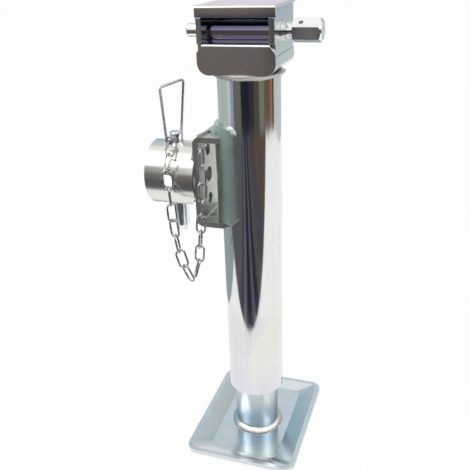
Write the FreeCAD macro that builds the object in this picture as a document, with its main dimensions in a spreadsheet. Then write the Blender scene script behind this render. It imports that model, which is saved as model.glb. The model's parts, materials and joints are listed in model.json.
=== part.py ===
import FreeCAD, Part
import math
import os

import Sketcher
from FreeCAD import Placement, Rotation, Vector

# Trailer prop stand with a side drive, a telescopic leg and a pipe socket mount.
# Millimetres. The origin is on the ground under the axis of the tubes and +Z is up.
# The window of the head faces -Y, the hexagon for the crank points to +X,
# and the open end of the pipe socket points to -X. The leg is drawn 60 mm out.

doc = FreeCAD.newDocument("prop_stand")
sheet = doc.addObject("Spreadsheet::Sheet", "Sizes")

DRIVING_SIZES = (
    ("tube_diameter", "60.3", "main tube, outside"),
    ("tube_wall", "5", "main tube, wall"),
    ("tube_low", "60.5", "lower end of the main tube above the ground"),
    ("head_low", "411.4", "underside of the head, and upper end of the main tube"),
    ("leg_gap", "1", "gap between the leg tube and the bore of the main tube"),
    ("leg_wall", "4", "leg tube, wall"),
    ("leg_length", "330", "leg tube, length"),
    ("slot_width", "8.4", "guide slot in the back of the leg"),
    ("slot_depth", "2.6", "guide slot in the back of the leg"),
    ("slot_low", "35", "lower end of the guide slot"),
    ("slot_high", "318", "upper end of the guide slot"),
    ("key_low", "84", "lower end of the guide key"),
    ("key_length", "20", "guide key, length"),
    ("guide_low", "62", "lower end of the guide bush"),
    ("guide_length", "20", "guide bush, length"),
    ("foot_width", "122.6", "foot across"),
    ("foot_depth", "154", "foot front to back"),
    ("foot_sheet", "4.5", "foot, sheet thickness"),
    ("foot_rim", "9.5", "top of the foot's rim above the ground"),
    ("foot_lip", "5", "flat width of the foot's rim"),
    ("foot_corner", "13", "foot, corner radius"),
    ("panel_width", "76", "flat middle of the foot across"),
    ("panel_depth", "121", "flat middle of the foot front to back"),
    ("weld_leg", "4", "leg of a fillet weld"),
    ("foot_weld_leg", "5.2", "leg of the weld round the leg tube"),
    ("screw_diameter", "20", "lead screw over its thread"),
    ("screw_low", "90", "lower end of the lead screw"),
    ("screw_chamfer", "2", "chamfer on the lead screw's lower end"),
    ("nut_length", "30", "nut in the top of the leg"),
    ("collar_diameter", "36", "collar that pushes up on the bearing"),
    ("collar_height", "6", "collar that pushes up on the bearing"),
    ("journal_diameter", "25", "screw journal in the thrust bearing"),
    ("spigot_diameter", "18", "screw end in the crown gear"),
    ("spigot_length", "15", "upper end of the screw, from the underside of the crown gear"),
    ("bearing_gap", "1.65", "gap between the thrust bearing and the bore of the main tube"),
    ("bearing_height", "15", "thrust bearing, both races and the balls"),
    ("race_height", "4.4", "one race of the thrust bearing"),
    ("ball_count", "9", "balls in the thrust bearing"),
    ("plate_height", "8", "thrust plate in the top of the main tube"),
    ("washer_height", "2", "washer under the crown gear"),
    ("running_clearance", "0.08", "radial clearance of a shaft, screw or pin in its hole"),
    ("end_clearance", "0.1", "end clearance of a turning part"),
    ("loose_clearance", "0.32", "clearance of a part that only has to pass by"),
    ("shaft_rise", "36.4", "axis of the drive shaft above the underside of the head"),
    ("shaft_diameter", "12.5", "drive shaft"),
    ("shaft_left", "58.4", "reach of the drive shaft towards -X"),
    ("shaft_chamfer", "1.2", "chamfer on the left end of the drive shaft"),
    ("shoulder_diameter", "15.5", "shoulder on the drive shaft outside the head"),
    ("shoulder_length", "2.5", "shoulder on the drive shaft outside the head"),
    ("hexagon_start", "43", "inner end of the crank hexagon"),
    ("hexagon_end", "69.2", "outer end of the crank hexagon"),
    ("hexagon_flats", "19", "crank hexagon across its flats"),
    ("hexagon_turn", "10.7", "angle of the crank hexagon at rest, in degrees"),
    ("hexagon_chamfer", "2.4", "chamfer on the end of the crank hexagon"),
    ("crank_hole_diameter", "4", "cross hole for the crank's pin"),
    ("crank_hole_inset", "7.7", "cross hole from the inner end of the hexagon"),
    ("bush_diameter", "15.2", "shaft bush, outside"),
    ("flange_diameter", "18", "flange of a shaft bush, and the washers on the shaft"),
    ("flange_height", "2", "flange of a shaft bush"),
    ("shaft_washer_height", "1.5", "washer and retaining ring on the shaft"),
    ("gear_module", "2", "bevel gears, module at the outer end"),
    ("pinion_teeth", "12", "teeth of the bevel pinion"),
    ("crown_teeth", "24", "teeth of the crown gear"),
    ("tooth_length", "7", "bevel gears, face width"),
    ("tooth_backlash", "0.24", "bevel gears, play at the pitch circle"),
    ("tooth_addendum", "0.8", "bevel teeth outside the pitch cone, in modules"),
    ("tooth_dedendum", "1.08", "bevel teeth inside the pitch cone, in modules"),
    ("pressure_angle", "20", "bevel teeth, angle of their flanks in degrees"),
    ("crown_rim", "5", "crown gear, rim behind the teeth"),
    ("pinion_rim", "1.2", "bevel pinion, rim behind the teeth"),
    ("crown_hub_diameter", "27", "crown gear, hub"),
    ("pinion_hub_diameter", "19", "bevel pinion, hub"),
    ("pinion_hub_length", "4.2", "bevel pinion, hub"),
    ("gear_pin_diameter", "4", "pin through the crown gear's hub"),
    ("gear_pin_height", "4.8", "middle of that pin above the underside of the hub"),
    ("pinion_pin_diameter", "3", "pin through the pinion's hub"),
    ("head_width", "73.8", "head across, over its top plate"),
    ("head_offset", "-3.2", "middle of the head from the tube's axis"),
    ("head_front", "28.4", "front of the head from the tube's axis"),
    ("head_back", "48", "back of the head's frame from the tube's axis"),
    ("top_rise", "23.5", "top of the head above the drive shaft"),
    ("head_sheet", "2.5", "sheet of the head"),
    ("top_sheet", "3", "sheet of the head's top plate"),
    ("lip_height", "10.1", "front lip of the top plate"),
    ("cover_corner", "6", "top plate, radius of its rear corners"),
    ("seam_drop", "19.8", "upper edge of the lower housing below the drive shaft"),
    ("housing_corner", "11", "lower housing, radius of its bottom edges"),
    ("frame_step", "0.8", "step from the lower housing in to the walls that stand on its edge"),
    ("window_drop", "8.9", "lower edge of the window below the drive shaft"),
    ("window_side", "5.2", "strip of the frame at each side of the window"),
    ("shoulder_drop", "16.8", "upper end of the front plate's straight sides below the drive shaft"),
    ("bend_radius", "2.2", "outer radius of a tight bend"),
    ("shroud_radius", "15.1", "gear shroud, outside"),
    ("shroud_sheet", "1.2", "gear shroud, sheet"),
    ("bore_clearance", "1", "hole in the lower housing round the crown gear's hub"),
    ("pipe_diameter", "65.4", "socket pipe, outside"),
    ("pipe_wall", "4.7", "socket pipe, wall"),
    ("pipe_height", "307.3", "axis of the socket pipe above the ground"),
    ("pipe_length", "51.7", "socket pipe, from the bracket to its open end"),
    ("bracket_drop", "47.3", "underside of the mount bracket below the pipe's axis"),
    ("bracket_height", "93", "mount bracket, height"),
    ("bracket_width", "54", "mount bracket, front to back"),
    ("bracket_plate", "5.5", "mount bracket, plate"),
    ("bracket_reach", "20.35", "outside of the mount bracket's web from the main tube"),
    ("bracket_wrap", "1.65", "how far the mount bracket's flanges reach round the main tube"),
    ("bracket_bend", "7.5", "mount bracket, outer bend radius"),
    ("bolt_spacing", "25.7", "holes in the bracket's web from the middle one"),
    ("bolt_hole_diameter", "11.3", "upper and lower hole in the bracket's web"),
    ("middle_hole_diameter", "15", "middle hole in the bracket's web"),
    ("chain_hole_diameter", "6.5", "hole for the chain in each flange"),
    ("chain_hole_depth", "5.5", "hole for the chain from the middle of the bracket"),
    ("chain_hole_inset", "10.5", "hole for the chain from the outside of the bracket's web"),
    ("saddle_sheet", "4.3", "saddle plate on the main tube"),
    ("saddle_drop", "41.3", "lower end of the saddle plate below the pipe's axis"),
    ("saddle_rise", "56.7", "upper end of the saddle plate above the pipe's axis"),
    ("saddle_edge", "6", "front and back edge of the saddle plate from the axis"),
    ("saddle_corner", "9", "saddle plate, corner radius"),
    ("pin_diameter", "14", "locking pin"),
    ("pin_inset", "24.2", "axis of the locking pin from the socket pipe's open end"),
    ("pin_drop", "64.1", "lower end of the locking pin below the pipe's axis"),
    ("pin_rise", "42.7", "upper end of the locking pin above the pipe's axis"),
    ("pin_taper", "7", "length of the locking pin's tapered tip"),
    ("pin_chamfer", "1", "chamfer on the locking pin's head"),
    ("handle_rise", "38.2", "cross hole of the locking pin above the pipe's axis"),
    ("handle_wire", "2.6", "wire of the pin's handle"),
    ("handle_eye", "17", "eye of the pin's handle in front of the pin"),
    ("eye_radius", "3.6", "eye of the pin's handle, to the middle of the wire"),
    ("eye_wire", "2.8", "wire of the eye of the pin's handle"),
    ("handle_bend", "3", "corner radius of the pin's handle"),
    ("handle_back_side", "7.9", "back upper corner of the handle, towards the tube"),
    ("handle_back_depth", "8.7", "back upper corner of the handle, behind the pin"),
    ("handle_back_height", "55.2", "back upper corner of the handle, above the cross hole"),
    ("handle_front_side", "9.5", "front upper corner of the handle, towards the pipe's mouth"),
    ("handle_front_depth", "10.4", "front upper corner of the handle, in front of the pin"),
    ("handle_front_height", "49.9", "front upper corner of the handle, above the cross hole"),
    ("chain_wire", "2", "chain, wire"),
    ("link_length", "21.3", "chain link, outside length"),
    ("link_width", "11", "chain link, outside width"),
    ("link_play", "0.3", "play between one chain link and the next"),
    ("anchor_drop", "9.5", "anchor link, from the middle of the flange down to its bow"),
)

# Sizes, heights above the ground and places from the tube's axis that follow from the rest.
FOLLOWING_SIZES = (
    ("leg_diameter", "=tube_diameter - 2 * tube_wall - 2 * leg_gap", "leg tube, outside"),
    ("bearing_outer", "=tube_diameter - 2 * tube_wall - 2 * bearing_gap", "thrust bearing, outside"),
    ("bracket_outer", "=tube_diameter / 2 + bracket_reach", "outside of the mount bracket's web"),
    ("bracket_inner", "=tube_diameter / 2 - bracket_wrap", "free end of the bracket's flanges"),
    ("chain_hole_reach", "=bracket_outer - chain_hole_inset", "hole for the chain"),
    ("pipe_mouth", "=bracket_outer + pipe_length", "open end of the socket pipe"),
    ("pin_station", "=pipe_mouth - pin_inset", "axis of the locking pin"),
    ("shaft_height", "=head_low + shaft_rise", "axis of the drive shaft"),
    ("head_top", "=shaft_height + top_rise", "top of the head"),
    ("seam_height", "=shaft_height - seam_drop", "upper edge of the lower housing"),
    ("window_low", "=shaft_height - window_drop", "lower edge of the window"),
    ("shoulder_height", "=shaft_height - shoulder_drop", "end of the front plate's sides"),
    ("bracket_low", "=pipe_height - bracket_drop", "underside of the mount bracket"),
    ("saddle_low", "=pipe_height - saddle_drop", "lower end of the saddle plate"),
    ("saddle_high", "=pipe_height + saddle_rise", "upper end of the saddle plate"),
    ("pin_low", "=pipe_height - pin_drop", "lower end of the locking pin"),
    ("pin_top", "=pipe_height + pin_rise", "upper end of the locking pin"),
    ("handle_height", "=pipe_height + handle_rise", "cross hole of the locking pin"),
)

for row, (alias, value, meaning) in enumerate(DRIVING_SIZES + FOLLOWING_SIZES, start=1):
    sheet.set(f"A{row}", meaning)
    sheet.set(f"B{row}", value)
    sheet.setAlias(f"B{row}", alias)
doc.recompute()

X_AXIS = Vector(1, 0, 0)
Y_AXIS = Vector(0, 1, 0)
Z_AXIS = Vector(0, 0, 1)
UPRIGHT = Rotation()
ALONG_X = Rotation(Y_AXIS, 90)
ALONG_Y = Rotation(X_AXIS, -90)

# Places that several pieces share, worked out from the driving sizes.
TUBE_RADIUS = "Sizes.tube_diameter / 2"
TUBE_BORE = "(Sizes.tube_diameter / 2 - Sizes.tube_wall)"
LEG_RADIUS = "Sizes.leg_diameter / 2"
LEG_BORE = "(Sizes.leg_diameter / 2 - Sizes.leg_wall)"
LEG_TOP = "(Sizes.foot_sheet + Sizes.leg_length)"
SCREW_RADIUS = "Sizes.screw_diameter / 2"
PLATE_LOW = "(Sizes.head_low - Sizes.plate_height)"
BEARING_LOW = f"({PLATE_LOW} - Sizes.bearing_height)"
COLLAR_LOW = f"({BEARING_LOW} - Sizes.collar_height)"
WASHER_TOP = "(Sizes.head_low + Sizes.washer_height)"
HUB_LOW = f"({WASHER_TOP} + Sizes.end_clearance)"
HEAD_RIGHT = "(Sizes.head_offset + Sizes.head_width / 2)"
HEAD_LEFT = "(Sizes.head_offset - Sizes.head_width / 2)"
FRAME_RIGHT = f"({HEAD_RIGHT} - Sizes.frame_step)"
FRAME_LEFT = f"({HEAD_LEFT} + Sizes.frame_step)"
FRAME_TOP = "(Sizes.head_top - Sizes.top_sheet)"
PLATE_BACK = "(Sizes.head_sheet - Sizes.head_front)"
SHAFT_RADIUS = "Sizes.shaft_diameter / 2"
SHAFT_BORE = f"({SHAFT_RADIUS} + Sizes.running_clearance)"
PIPE_RADIUS = "Sizes.pipe_diameter / 2"
PIPE_BORE = "(Sizes.pipe_diameter / 2 - Sizes.pipe_wall)"
BRACKET_TOP = "(Sizes.bracket_low + Sizes.bracket_height)"
SADDLE_RADIUS = "(Sizes.tube_diameter / 2 + Sizes.saddle_sheet)"
PIN_RADIUS = "Sizes.pin_diameter / 2"
PIN_BORE = f"({PIN_RADIUS} + Sizes.running_clearance)"


def value(formula):
    return float(sheet.evalExpression(str(formula)))


def bind(item, **formulas):
    for name, formula in formulas.items():
        item.setExpression(name, str(formula))
    return item


def place(item, at, rotation=UPRIGHT):
    item.Placement = Placement(Vector(), rotation)
    for axis, formula in zip("xyz", at):
        item.setExpression(f"Placement.Base.{axis}", str(formula))
    return item


def cylinder(name, radius, height, at, rotation=UPRIGHT):
    item = doc.addObject("Part::Cylinder", name)
    return place(bind(item, Radius=radius, Height=height), at, rotation)


def box(name, size, at):
    item = doc.addObject("Part::Box", name)
    length, width, height = size
    return place(bind(item, Length=length, Width=width, Height=height), at)


def cut(name, base, *tools):
    for count, tool in enumerate(tools, start=1):
        result = doc.addObject("Part::Cut", name if count == len(tools) else f"{name}_{count}")
        result.Base = base
        result.Tool = tool
        base = result
    return base


def common(name, base, tool):
    result = doc.addObject("Part::Common", name)
    result.Base = base
    result.Tool = tool
    return result


def fuse(name, *shapes):
    result = doc.addObject("Part::MultiFuse", name)
    result.Shapes = list(shapes)
    result.Refine = True
    return result


def new_sketch(body, plane):
    sketch = body.newObject("Sketcher::SketchObject", f"{body.Name}_sketch")
    support = next(item for item in body.Origin.OriginFeatures if item.Role == plane)
    sketch.AttachmentSupport = (support, [""])
    sketch.MapMode = "FlatFace"
    return sketch


def constrain(sketch, kind, *target, formula):
    index = sketch.addConstraint(Sketcher.Constraint(kind, *target, value(formula)))
    sketch.setExpression(f"Constraints[{index}]", str(formula))


def add_circle(sketch, radius):
    circle = sketch.addGeometry(Part.Circle(Vector(), Z_AXIS, value(radius)), False)
    sketch.addConstraint(Sketcher.Constraint("Coincident", circle, 3, -1, 1))
    constrain(sketch, "Radius", circle, formula=radius)


def add_outline(sketch, corners):
    spots = [Vector(value(u), value(v), 0) for u, v in corners]
    ends = spots[1:] + spots[:1]
    lines = [
        sketch.addGeometry(Part.LineSegment(a, b), False) for a, b in zip(spots, ends)
    ]
    for line, after in zip(lines, lines[1:] + lines[:1]):
        sketch.addConstraint(Sketcher.Constraint("Coincident", line, 2, after, 1))
    for line, (across, up) in zip(lines, corners):
        constrain(sketch, "DistanceX", line, 1, formula=across)
        constrain(sketch, "DistanceY", line, 1, formula=up)


def pad(body, sketch, length, middle=False, back=False):
    feature = body.newObject("PartDesign::Pad", f"{body.Name}_pad")
    feature.Profile = sketch
    feature.Midplane = middle
    feature.Reversed = back
    bind(feature, Length=length)
    doc.recompute()
    return feature


def fillet(body, radius, wanted):
    doc.recompute()
    base = body.Tip
    names = [
        f"Edge{number}"
        for number, edge in enumerate(base.Shape.Edges, start=1)
        if wanted(edge)
    ]
    feature = body.newObject("PartDesign::Fillet", f"{body.Name}_fillet")
    feature.Base = (base, names)
    bind(feature, Radius=radius)
    doc.recompute()
    return feature


def direction(edge):
    first, last = edge.Vertexes[0].Point, edge.Vertexes[-1].Point
    return (last - first).normalize() if first != last else Vector()


def runs_along(edge, axis):
    return abs(direction(edge).dot(axis)) > 0.999


def ring(name, outer, inner, length, at, rotation=UPRIGHT):
    body = doc.addObject("PartDesign::Body", name)
    sketch = new_sketch(body, "XY_Plane")
    add_circle(sketch, outer)
    add_circle(sketch, inner)
    pad(body, sketch, length)
    return place(body, at, rotation)


def turned(name, profile, at=(0, 0, 0), rotation=UPRIGHT):
    """A turned piece: its profile is pairs of radius and height along its own axis."""
    body = doc.addObject("PartDesign::Body", name)
    sketch = new_sketch(body, "XZ_Plane")
    add_outline(sketch, profile)
    feature = body.newObject("PartDesign::Revolution", f"{name}_turned")
    feature.Profile = sketch
    feature.ReferenceAxis = (sketch, ["V_Axis"])
    feature.Angle = 360
    return place(body, at, rotation)


def plain_part(name, shape):
    item = doc.addObject("Part::Feature", name)
    item.Shape = shape
    return item


def wire_along(path, radius):
    """A round wire swept along a path."""
    first = path.Edges[0]
    start, along = first.valueAt(first.FirstParameter), first.tangentAt(first.FirstParameter)
    section = Part.Wire(Part.makeCircle(radius, start, along))
    return path.makePipeShell([section], True, True)


def outer_tube():
    length = "Sizes.head_low - Sizes.tube_low"
    return ring("outer_tube", TUBE_RADIUS, TUBE_BORE, length, (0, 0, "Sizes.tube_low"))


def guide_bush():
    """A thin bush in the mouth of the main tube, which the leg runs in."""
    bore = f"{LEG_RADIUS} + Sizes.running_clearance"
    return ring("guide_bush", TUBE_BORE, bore, "Sizes.guide_length", (0, 0, "Sizes.guide_low"))


def guide_key():
    """A key on the tube's inside, behind the leg, that keeps the leg from turning."""
    width = "(Sizes.slot_width - Sizes.loose_clearance)"
    inner = f"({LEG_RADIUS} - Sizes.slot_depth + Sizes.loose_clearance)"
    blank = box(
        "guide_key_blank",
        (width, "Sizes.leg_wall + Sizes.slot_depth", "Sizes.key_length"),
        (f"-{width} / 2", inner, "Sizes.key_low"),
    )
    room = cylinder("guide_key_room", TUBE_BORE, "Sizes.key_length", (0, 0, "Sizes.key_low"))
    return common("guide_key", blank, room)


def inner_tube():
    tube = ring("leg_blank", LEG_RADIUS, LEG_BORE, "Sizes.leg_length", (0, 0, "Sizes.foot_sheet"))
    slot = box(
        "leg_slot",
        ("Sizes.slot_width", "Sizes.slot_depth + Sizes.leg_wall", "Sizes.slot_high - Sizes.slot_low"),
        ("-Sizes.slot_width / 2", f"{LEG_RADIUS} - Sizes.slot_depth", "Sizes.slot_low"),
    )
    return cut("inner_tube", tube, slot)


def add_rounded_rectangle(sketch, width, depth, radius):
    half_w, half_d, bend = value(f"({width}) / 2"), value(f"({depth}) / 2"), value(radius)
    quarters = ((1, 1, 0), (-1, 1, 90), (-1, -1, 180), (1, -1, 270))
    circles = [
        Part.Circle(Vector(u * (half_w - bend), v * (half_d - bend), 0), Z_AXIS, bend)
        for u, v, _ in quarters
    ]
    spans = [(math.radians(start), math.radians(start + 90)) for _, _, start in quarters]
    bows = [Part.ArcOfCircle(circle, *span) for circle, span in zip(circles, spans)]
    arcs = [sketch.addGeometry(bow, False) for bow in bows]
    lines = [
        sketch.addGeometry(Part.LineSegment(bow.EndPoint, after.StartPoint), False)
        for bow, after in zip(bows, bows[1:] + bows[:1])
    ]
    for arc, line, after in zip(arcs, lines, arcs[1:] + arcs[:1]):
        sketch.addConstraint(Sketcher.Constraint("Tangent", arc, 2, line, 1))
        sketch.addConstraint(Sketcher.Constraint("Tangent", line, 2, after, 1))
    for line, kind in zip(lines, ("Horizontal", "Vertical", "Horizontal", "Vertical")):
        sketch.addConstraint(Sketcher.Constraint(kind, line))
    for arc in arcs[1:]:
        sketch.addConstraint(Sketcher.Constraint("Equal", arcs[0], arc))
    constrain(sketch, "Radius", arcs[0], formula=radius)
    for arc, sign in ((arcs[0], 1), (arcs[2], -1)):
        constrain(sketch, "DistanceX", arc, 3, formula=f"{sign} * (({width}) / 2 - {radius})")
        constrain(sketch, "DistanceY", arc, 3, formula=f"{sign} * (({depth}) / 2 - {radius})")


def foot_plate():
    """A pressed tray: a flat middle on the ground, sloping sides and a flat rim."""
    body = doc.addObject("PartDesign::Body", "foot_plate")

    def section(inset, height, corner, flat=False):
        base = "panel" if flat else "foot"
        sketch = new_sketch(body, "XY_Plane")
        bind(sketch, **{"AttachmentOffset.Base.z": height})
        width, depth = f"Sizes.{base}_width - 2 * {inset}", f"Sizes.{base}_depth - 2 * {inset}"
        add_rounded_rectangle(sketch, width, depth, corner)
        return sketch

    def loft(kind, name, *sections):
        feature = body.newObject(f"PartDesign::{kind}", name)
        feature.Profile = sections[0]
        feature.Sections = list(sections[1:])
        feature.Ruled = True
        doc.recompute()

    corner, rim = "Sizes.foot_corner", "Sizes.foot_rim"
    sole = section("(-Sizes.foot_sheet / 4)", 0, corner, flat=True)
    edge_low = section(0, f"{rim} - Sizes.foot_sheet", corner)
    edge_high = section(0, rim, corner)
    loft("AdditiveLoft", "foot_block", sole, edge_low, edge_high)
    inner_corner = "(Sizes.foot_corner - Sizes.foot_lip)"
    panel = section(0, "Sizes.foot_sheet", inner_corner, flat=True)
    mouth = section("Sizes.foot_lip", rim, inner_corner)
    loft("SubtractiveLoft", "foot_hollow", panel, mouth)
    return body


def fillet_weld(name, radius, leg, height, up, at=(0, 0, 0), rotation=UPRIGHT):
    """A three-sided weld bead round a tube, on the face at the given height."""
    sign = "+" if up else "-"
    profile = (
        (radius, height),
        (f"{radius} + {leg}", height),
        (radius, f"{height} {sign} {leg}"),
    )
    return turned(name, profile, at, rotation)


def lead_screw(pin):
    end = "Sizes.screw_low + Sizes.screw_chamfer"
    journal = "Sizes.journal_diameter / 2"
    spigot = "Sizes.spigot_diameter / 2"
    journal_top = "Sizes.head_low - Sizes.end_clearance"
    top = f"{HUB_LOW} + Sizes.spigot_length"
    profile = (
        (0, "Sizes.screw_low"),
        (f"{SCREW_RADIUS} - Sizes.screw_chamfer", "Sizes.screw_low"),
        (SCREW_RADIUS, end),
        (SCREW_RADIUS, COLLAR_LOW),
        ("Sizes.collar_diameter / 2", COLLAR_LOW),
        ("Sizes.collar_diameter / 2", BEARING_LOW),
        (journal, BEARING_LOW),
        (journal, journal_top),
        (spigot, journal_top),
        (spigot, top),
        (0, top),
    )
    return cut("lead_screw", turned("screw_blank", profile), pin)


def drive_nut():
    low = f"({LEG_TOP} - Sizes.nut_length)"
    bore = f"{SCREW_RADIUS} + Sizes.running_clearance"
    return ring("drive_nut", LEG_BORE, bore, "Sizes.nut_length", (0, 0, low))


def thrust_bearing():
    """Both races and the balls of the bearing that takes the load of the screw."""
    outer = "Sizes.bearing_outer / 2"
    shaft = "Sizes.journal_diameter / 2"
    lower = ring("bearing_lower_race", outer, shaft, "Sizes.race_height", (0, 0, BEARING_LOW))
    upper_bore = f"{shaft} + Sizes.loose_clearance"
    upper_low = f"{PLATE_LOW} - Sizes.race_height"
    upper = ring("bearing_upper_race", outer, upper_bore, "Sizes.race_height", (0, 0, upper_low))
    gap = value("Sizes.bearing_height - 2 * Sizes.race_height")
    radius = gap / 2 - value("Sizes.end_clearance") / 2
    reach = value(f"({outer} + {shaft}) / 2")
    height = value(BEARING_LOW) + value("Sizes.bearing_height") / 2
    count = round(value("Sizes.ball_count"))
    balls = []
    for number in range(count):
        turn = 2 * math.pi * number / count
        spot = Vector(reach * math.cos(turn), reach * math.sin(turn), height)
        balls.append(Part.makeSphere(radius, spot))
    return lower, upper, plain_part("bearing_balls", Part.makeCompound(balls))


def thrust_plate():
    bore = "Sizes.journal_diameter / 2 + Sizes.running_clearance"
    return ring("thrust_plate", TUBE_BORE, bore, "Sizes.plate_height", (0, 0, PLATE_LOW))


def crown_washer():
    outer = "Sizes.crown_hub_diameter / 2"
    bore = "Sizes.spigot_diameter / 2 + Sizes.running_clearance"
    return ring("crown_washer", outer, bore, "Sizes.washer_height", (0, 0, "Sizes.head_low"))


def involute_flank(pitch, base, root, tip, half_angle):
    """Points of one tooth flank from root to tip, as pairs of distance and angle."""
    def spread(distance):
        ratio = base / max(distance, base)
        return math.tan(math.acos(ratio)) - math.acos(ratio)

    flank = [(root, half_angle + spread(pitch))]
    low = max(root, base)
    steps = 3
    for step in range(steps + 1):
        distance = low + (tip - low) * step / steps
        flank.append((distance, half_angle + spread(pitch) - spread(distance)))
    return flank if base > root else flank[1:]


def bevel_gear(teeth, mate, bore, hub_radius, hub_length, rim, recess):
    """A straight bevel gear whose pitch cones meet at the origin, with its hub towards -Z."""
    module = value("Sizes.gear_module")
    pitch_radius = module * teeth / 2
    distance = module * mate / 2
    cone = math.atan2(teeth, mate)
    cone_length = math.hypot(pitch_radius, distance)
    inner_share = 1 - value("Sizes.tooth_length") / cone_length
    addendum = value("Sizes.tooth_addendum") * module
    dedendum = value("Sizes.tooth_dedendum") * module
    out, up = Vector(math.cos(cone), 0, math.sin(cone)), Vector(0, 1, 0)
    pitch_point = Vector(pitch_radius, 0, -distance)
    root_point = pitch_point - out * dedendum
    inner_root = root_point * inner_share
    virtual = pitch_radius / math.cos(cone)
    base = virtual * math.cos(math.radians(value("Sizes.pressure_angle")))
    half_angle = (math.pi * module / 2 - value("Sizes.tooth_backlash") / 2) / 2 / virtual
    flank = involute_flank(virtual, base, virtual - dedendum, virtual + addendum, half_angle)
    sunk = [(flank[0][0] - rim / 6, flank[0][1])]
    half = sunk + flank
    section = [(d * math.cos(a) - virtual, d * math.sin(a)) for d, a in half]
    section += [(h, -s) for h, s in reversed(section)]
    outer = [pitch_point + out * h + up * s for h, s in section]
    inner = [point * inner_share for point in outer]
    wires = [Part.makePolygon(points + points[:1]) for points in (outer, inner)]
    tooth = Part.makeLoft(wires, True, True)
    hub_top = root_point.z - rim * math.cos(cone)
    outline = [
        Vector(bore, 0, inner_root.z - recess),
        Vector(inner_root.x - recess, 0, inner_root.z - recess),
        inner_root,
        root_point,
        Vector(root_point.x - rim * math.sin(cone) / 3, 0, hub_top),
        Vector(hub_radius, 0, hub_top),
        Vector(hub_radius, 0, hub_top - hub_length),
        Vector(bore, 0, hub_top - hub_length),
    ]
    if recess == 0:
        outline.pop(1)
    blank = Part.Face(Part.makePolygon(outline + outline[:1])).revolve(Vector(), Z_AXIS, 360)
    teeth_shapes = []
    for number in range(teeth):
        copy = tooth.copy()
        copy.rotate(Vector(), Z_AXIS, 360 * number / teeth)
        teeth_shapes.append(copy)
    return blank.multiFuse(teeth_shapes).removeSplitter(), hub_top - hub_length


def crown_gear(pin):
    teeth, mate = round(value("Sizes.crown_teeth")), round(value("Sizes.pinion_teeth"))
    hub = value("Sizes.crown_hub_diameter / 2")
    rim = value("Sizes.crown_rim")
    module = value("Sizes.gear_module")
    apex = value("Sizes.shaft_height")
    slope = math.sin(math.atan2(teeth, mate))
    rim_drop = rim * math.cos(math.atan2(teeth, mate))
    root_height = apex - module * mate / 2 - value("Sizes.tooth_dedendum") * module * slope
    hub_length = root_height - rim_drop - value(HUB_LOW)
    bore = value("Sizes.spigot_diameter / 2")
    recess = rim / 2
    gear, _ = bevel_gear(teeth, mate, bore, hub, hub_length, rim, recess)
    gear.translate(Vector(0, 0, apex))
    doc.recompute()
    return plain_part("crown_gear", gear.cut(pin.Shape))


def gear_pin():
    """A pin across the crown gear's hub and the end of the screw."""
    length = "(Sizes.crown_hub_diameter - 1)"
    height = f"{HUB_LOW} + Sizes.gear_pin_height"
    at = (0, f"-{length} / 2", height)
    return cylinder("gear_pin", "Sizes.gear_pin_diameter / 2", length, at, ALONG_Y)


def bevel_pinion():
    teeth, mate = round(value("Sizes.pinion_teeth")), round(value("Sizes.crown_teeth"))
    hub = value("Sizes.pinion_hub_diameter / 2")
    hub_length, rim = value("Sizes.pinion_hub_length"), value("Sizes.pinion_rim")
    gear, hub_end = bevel_gear(teeth, mate, value(SHAFT_RADIUS), hub, hub_length, rim, 0)
    half_pitch = 180 / teeth
    gear.rotate(Vector(), Z_AXIS, half_pitch)
    gear.rotate(Vector(), Y_AXIS, -90)
    gear.translate(Vector(0, 0, value("Sizes.shaft_height")))
    pin_station = -hub_end - hub_length / 2
    radius = value("Sizes.pinion_pin_diameter / 2")
    spot = Vector(pin_station, -hub, value("Sizes.shaft_height"))
    pin = Part.makeCylinder(radius, 2 * hub, spot, Y_AXIS)
    return plain_part("bevel_pinion", gear.cut(pin)), pin


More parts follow.
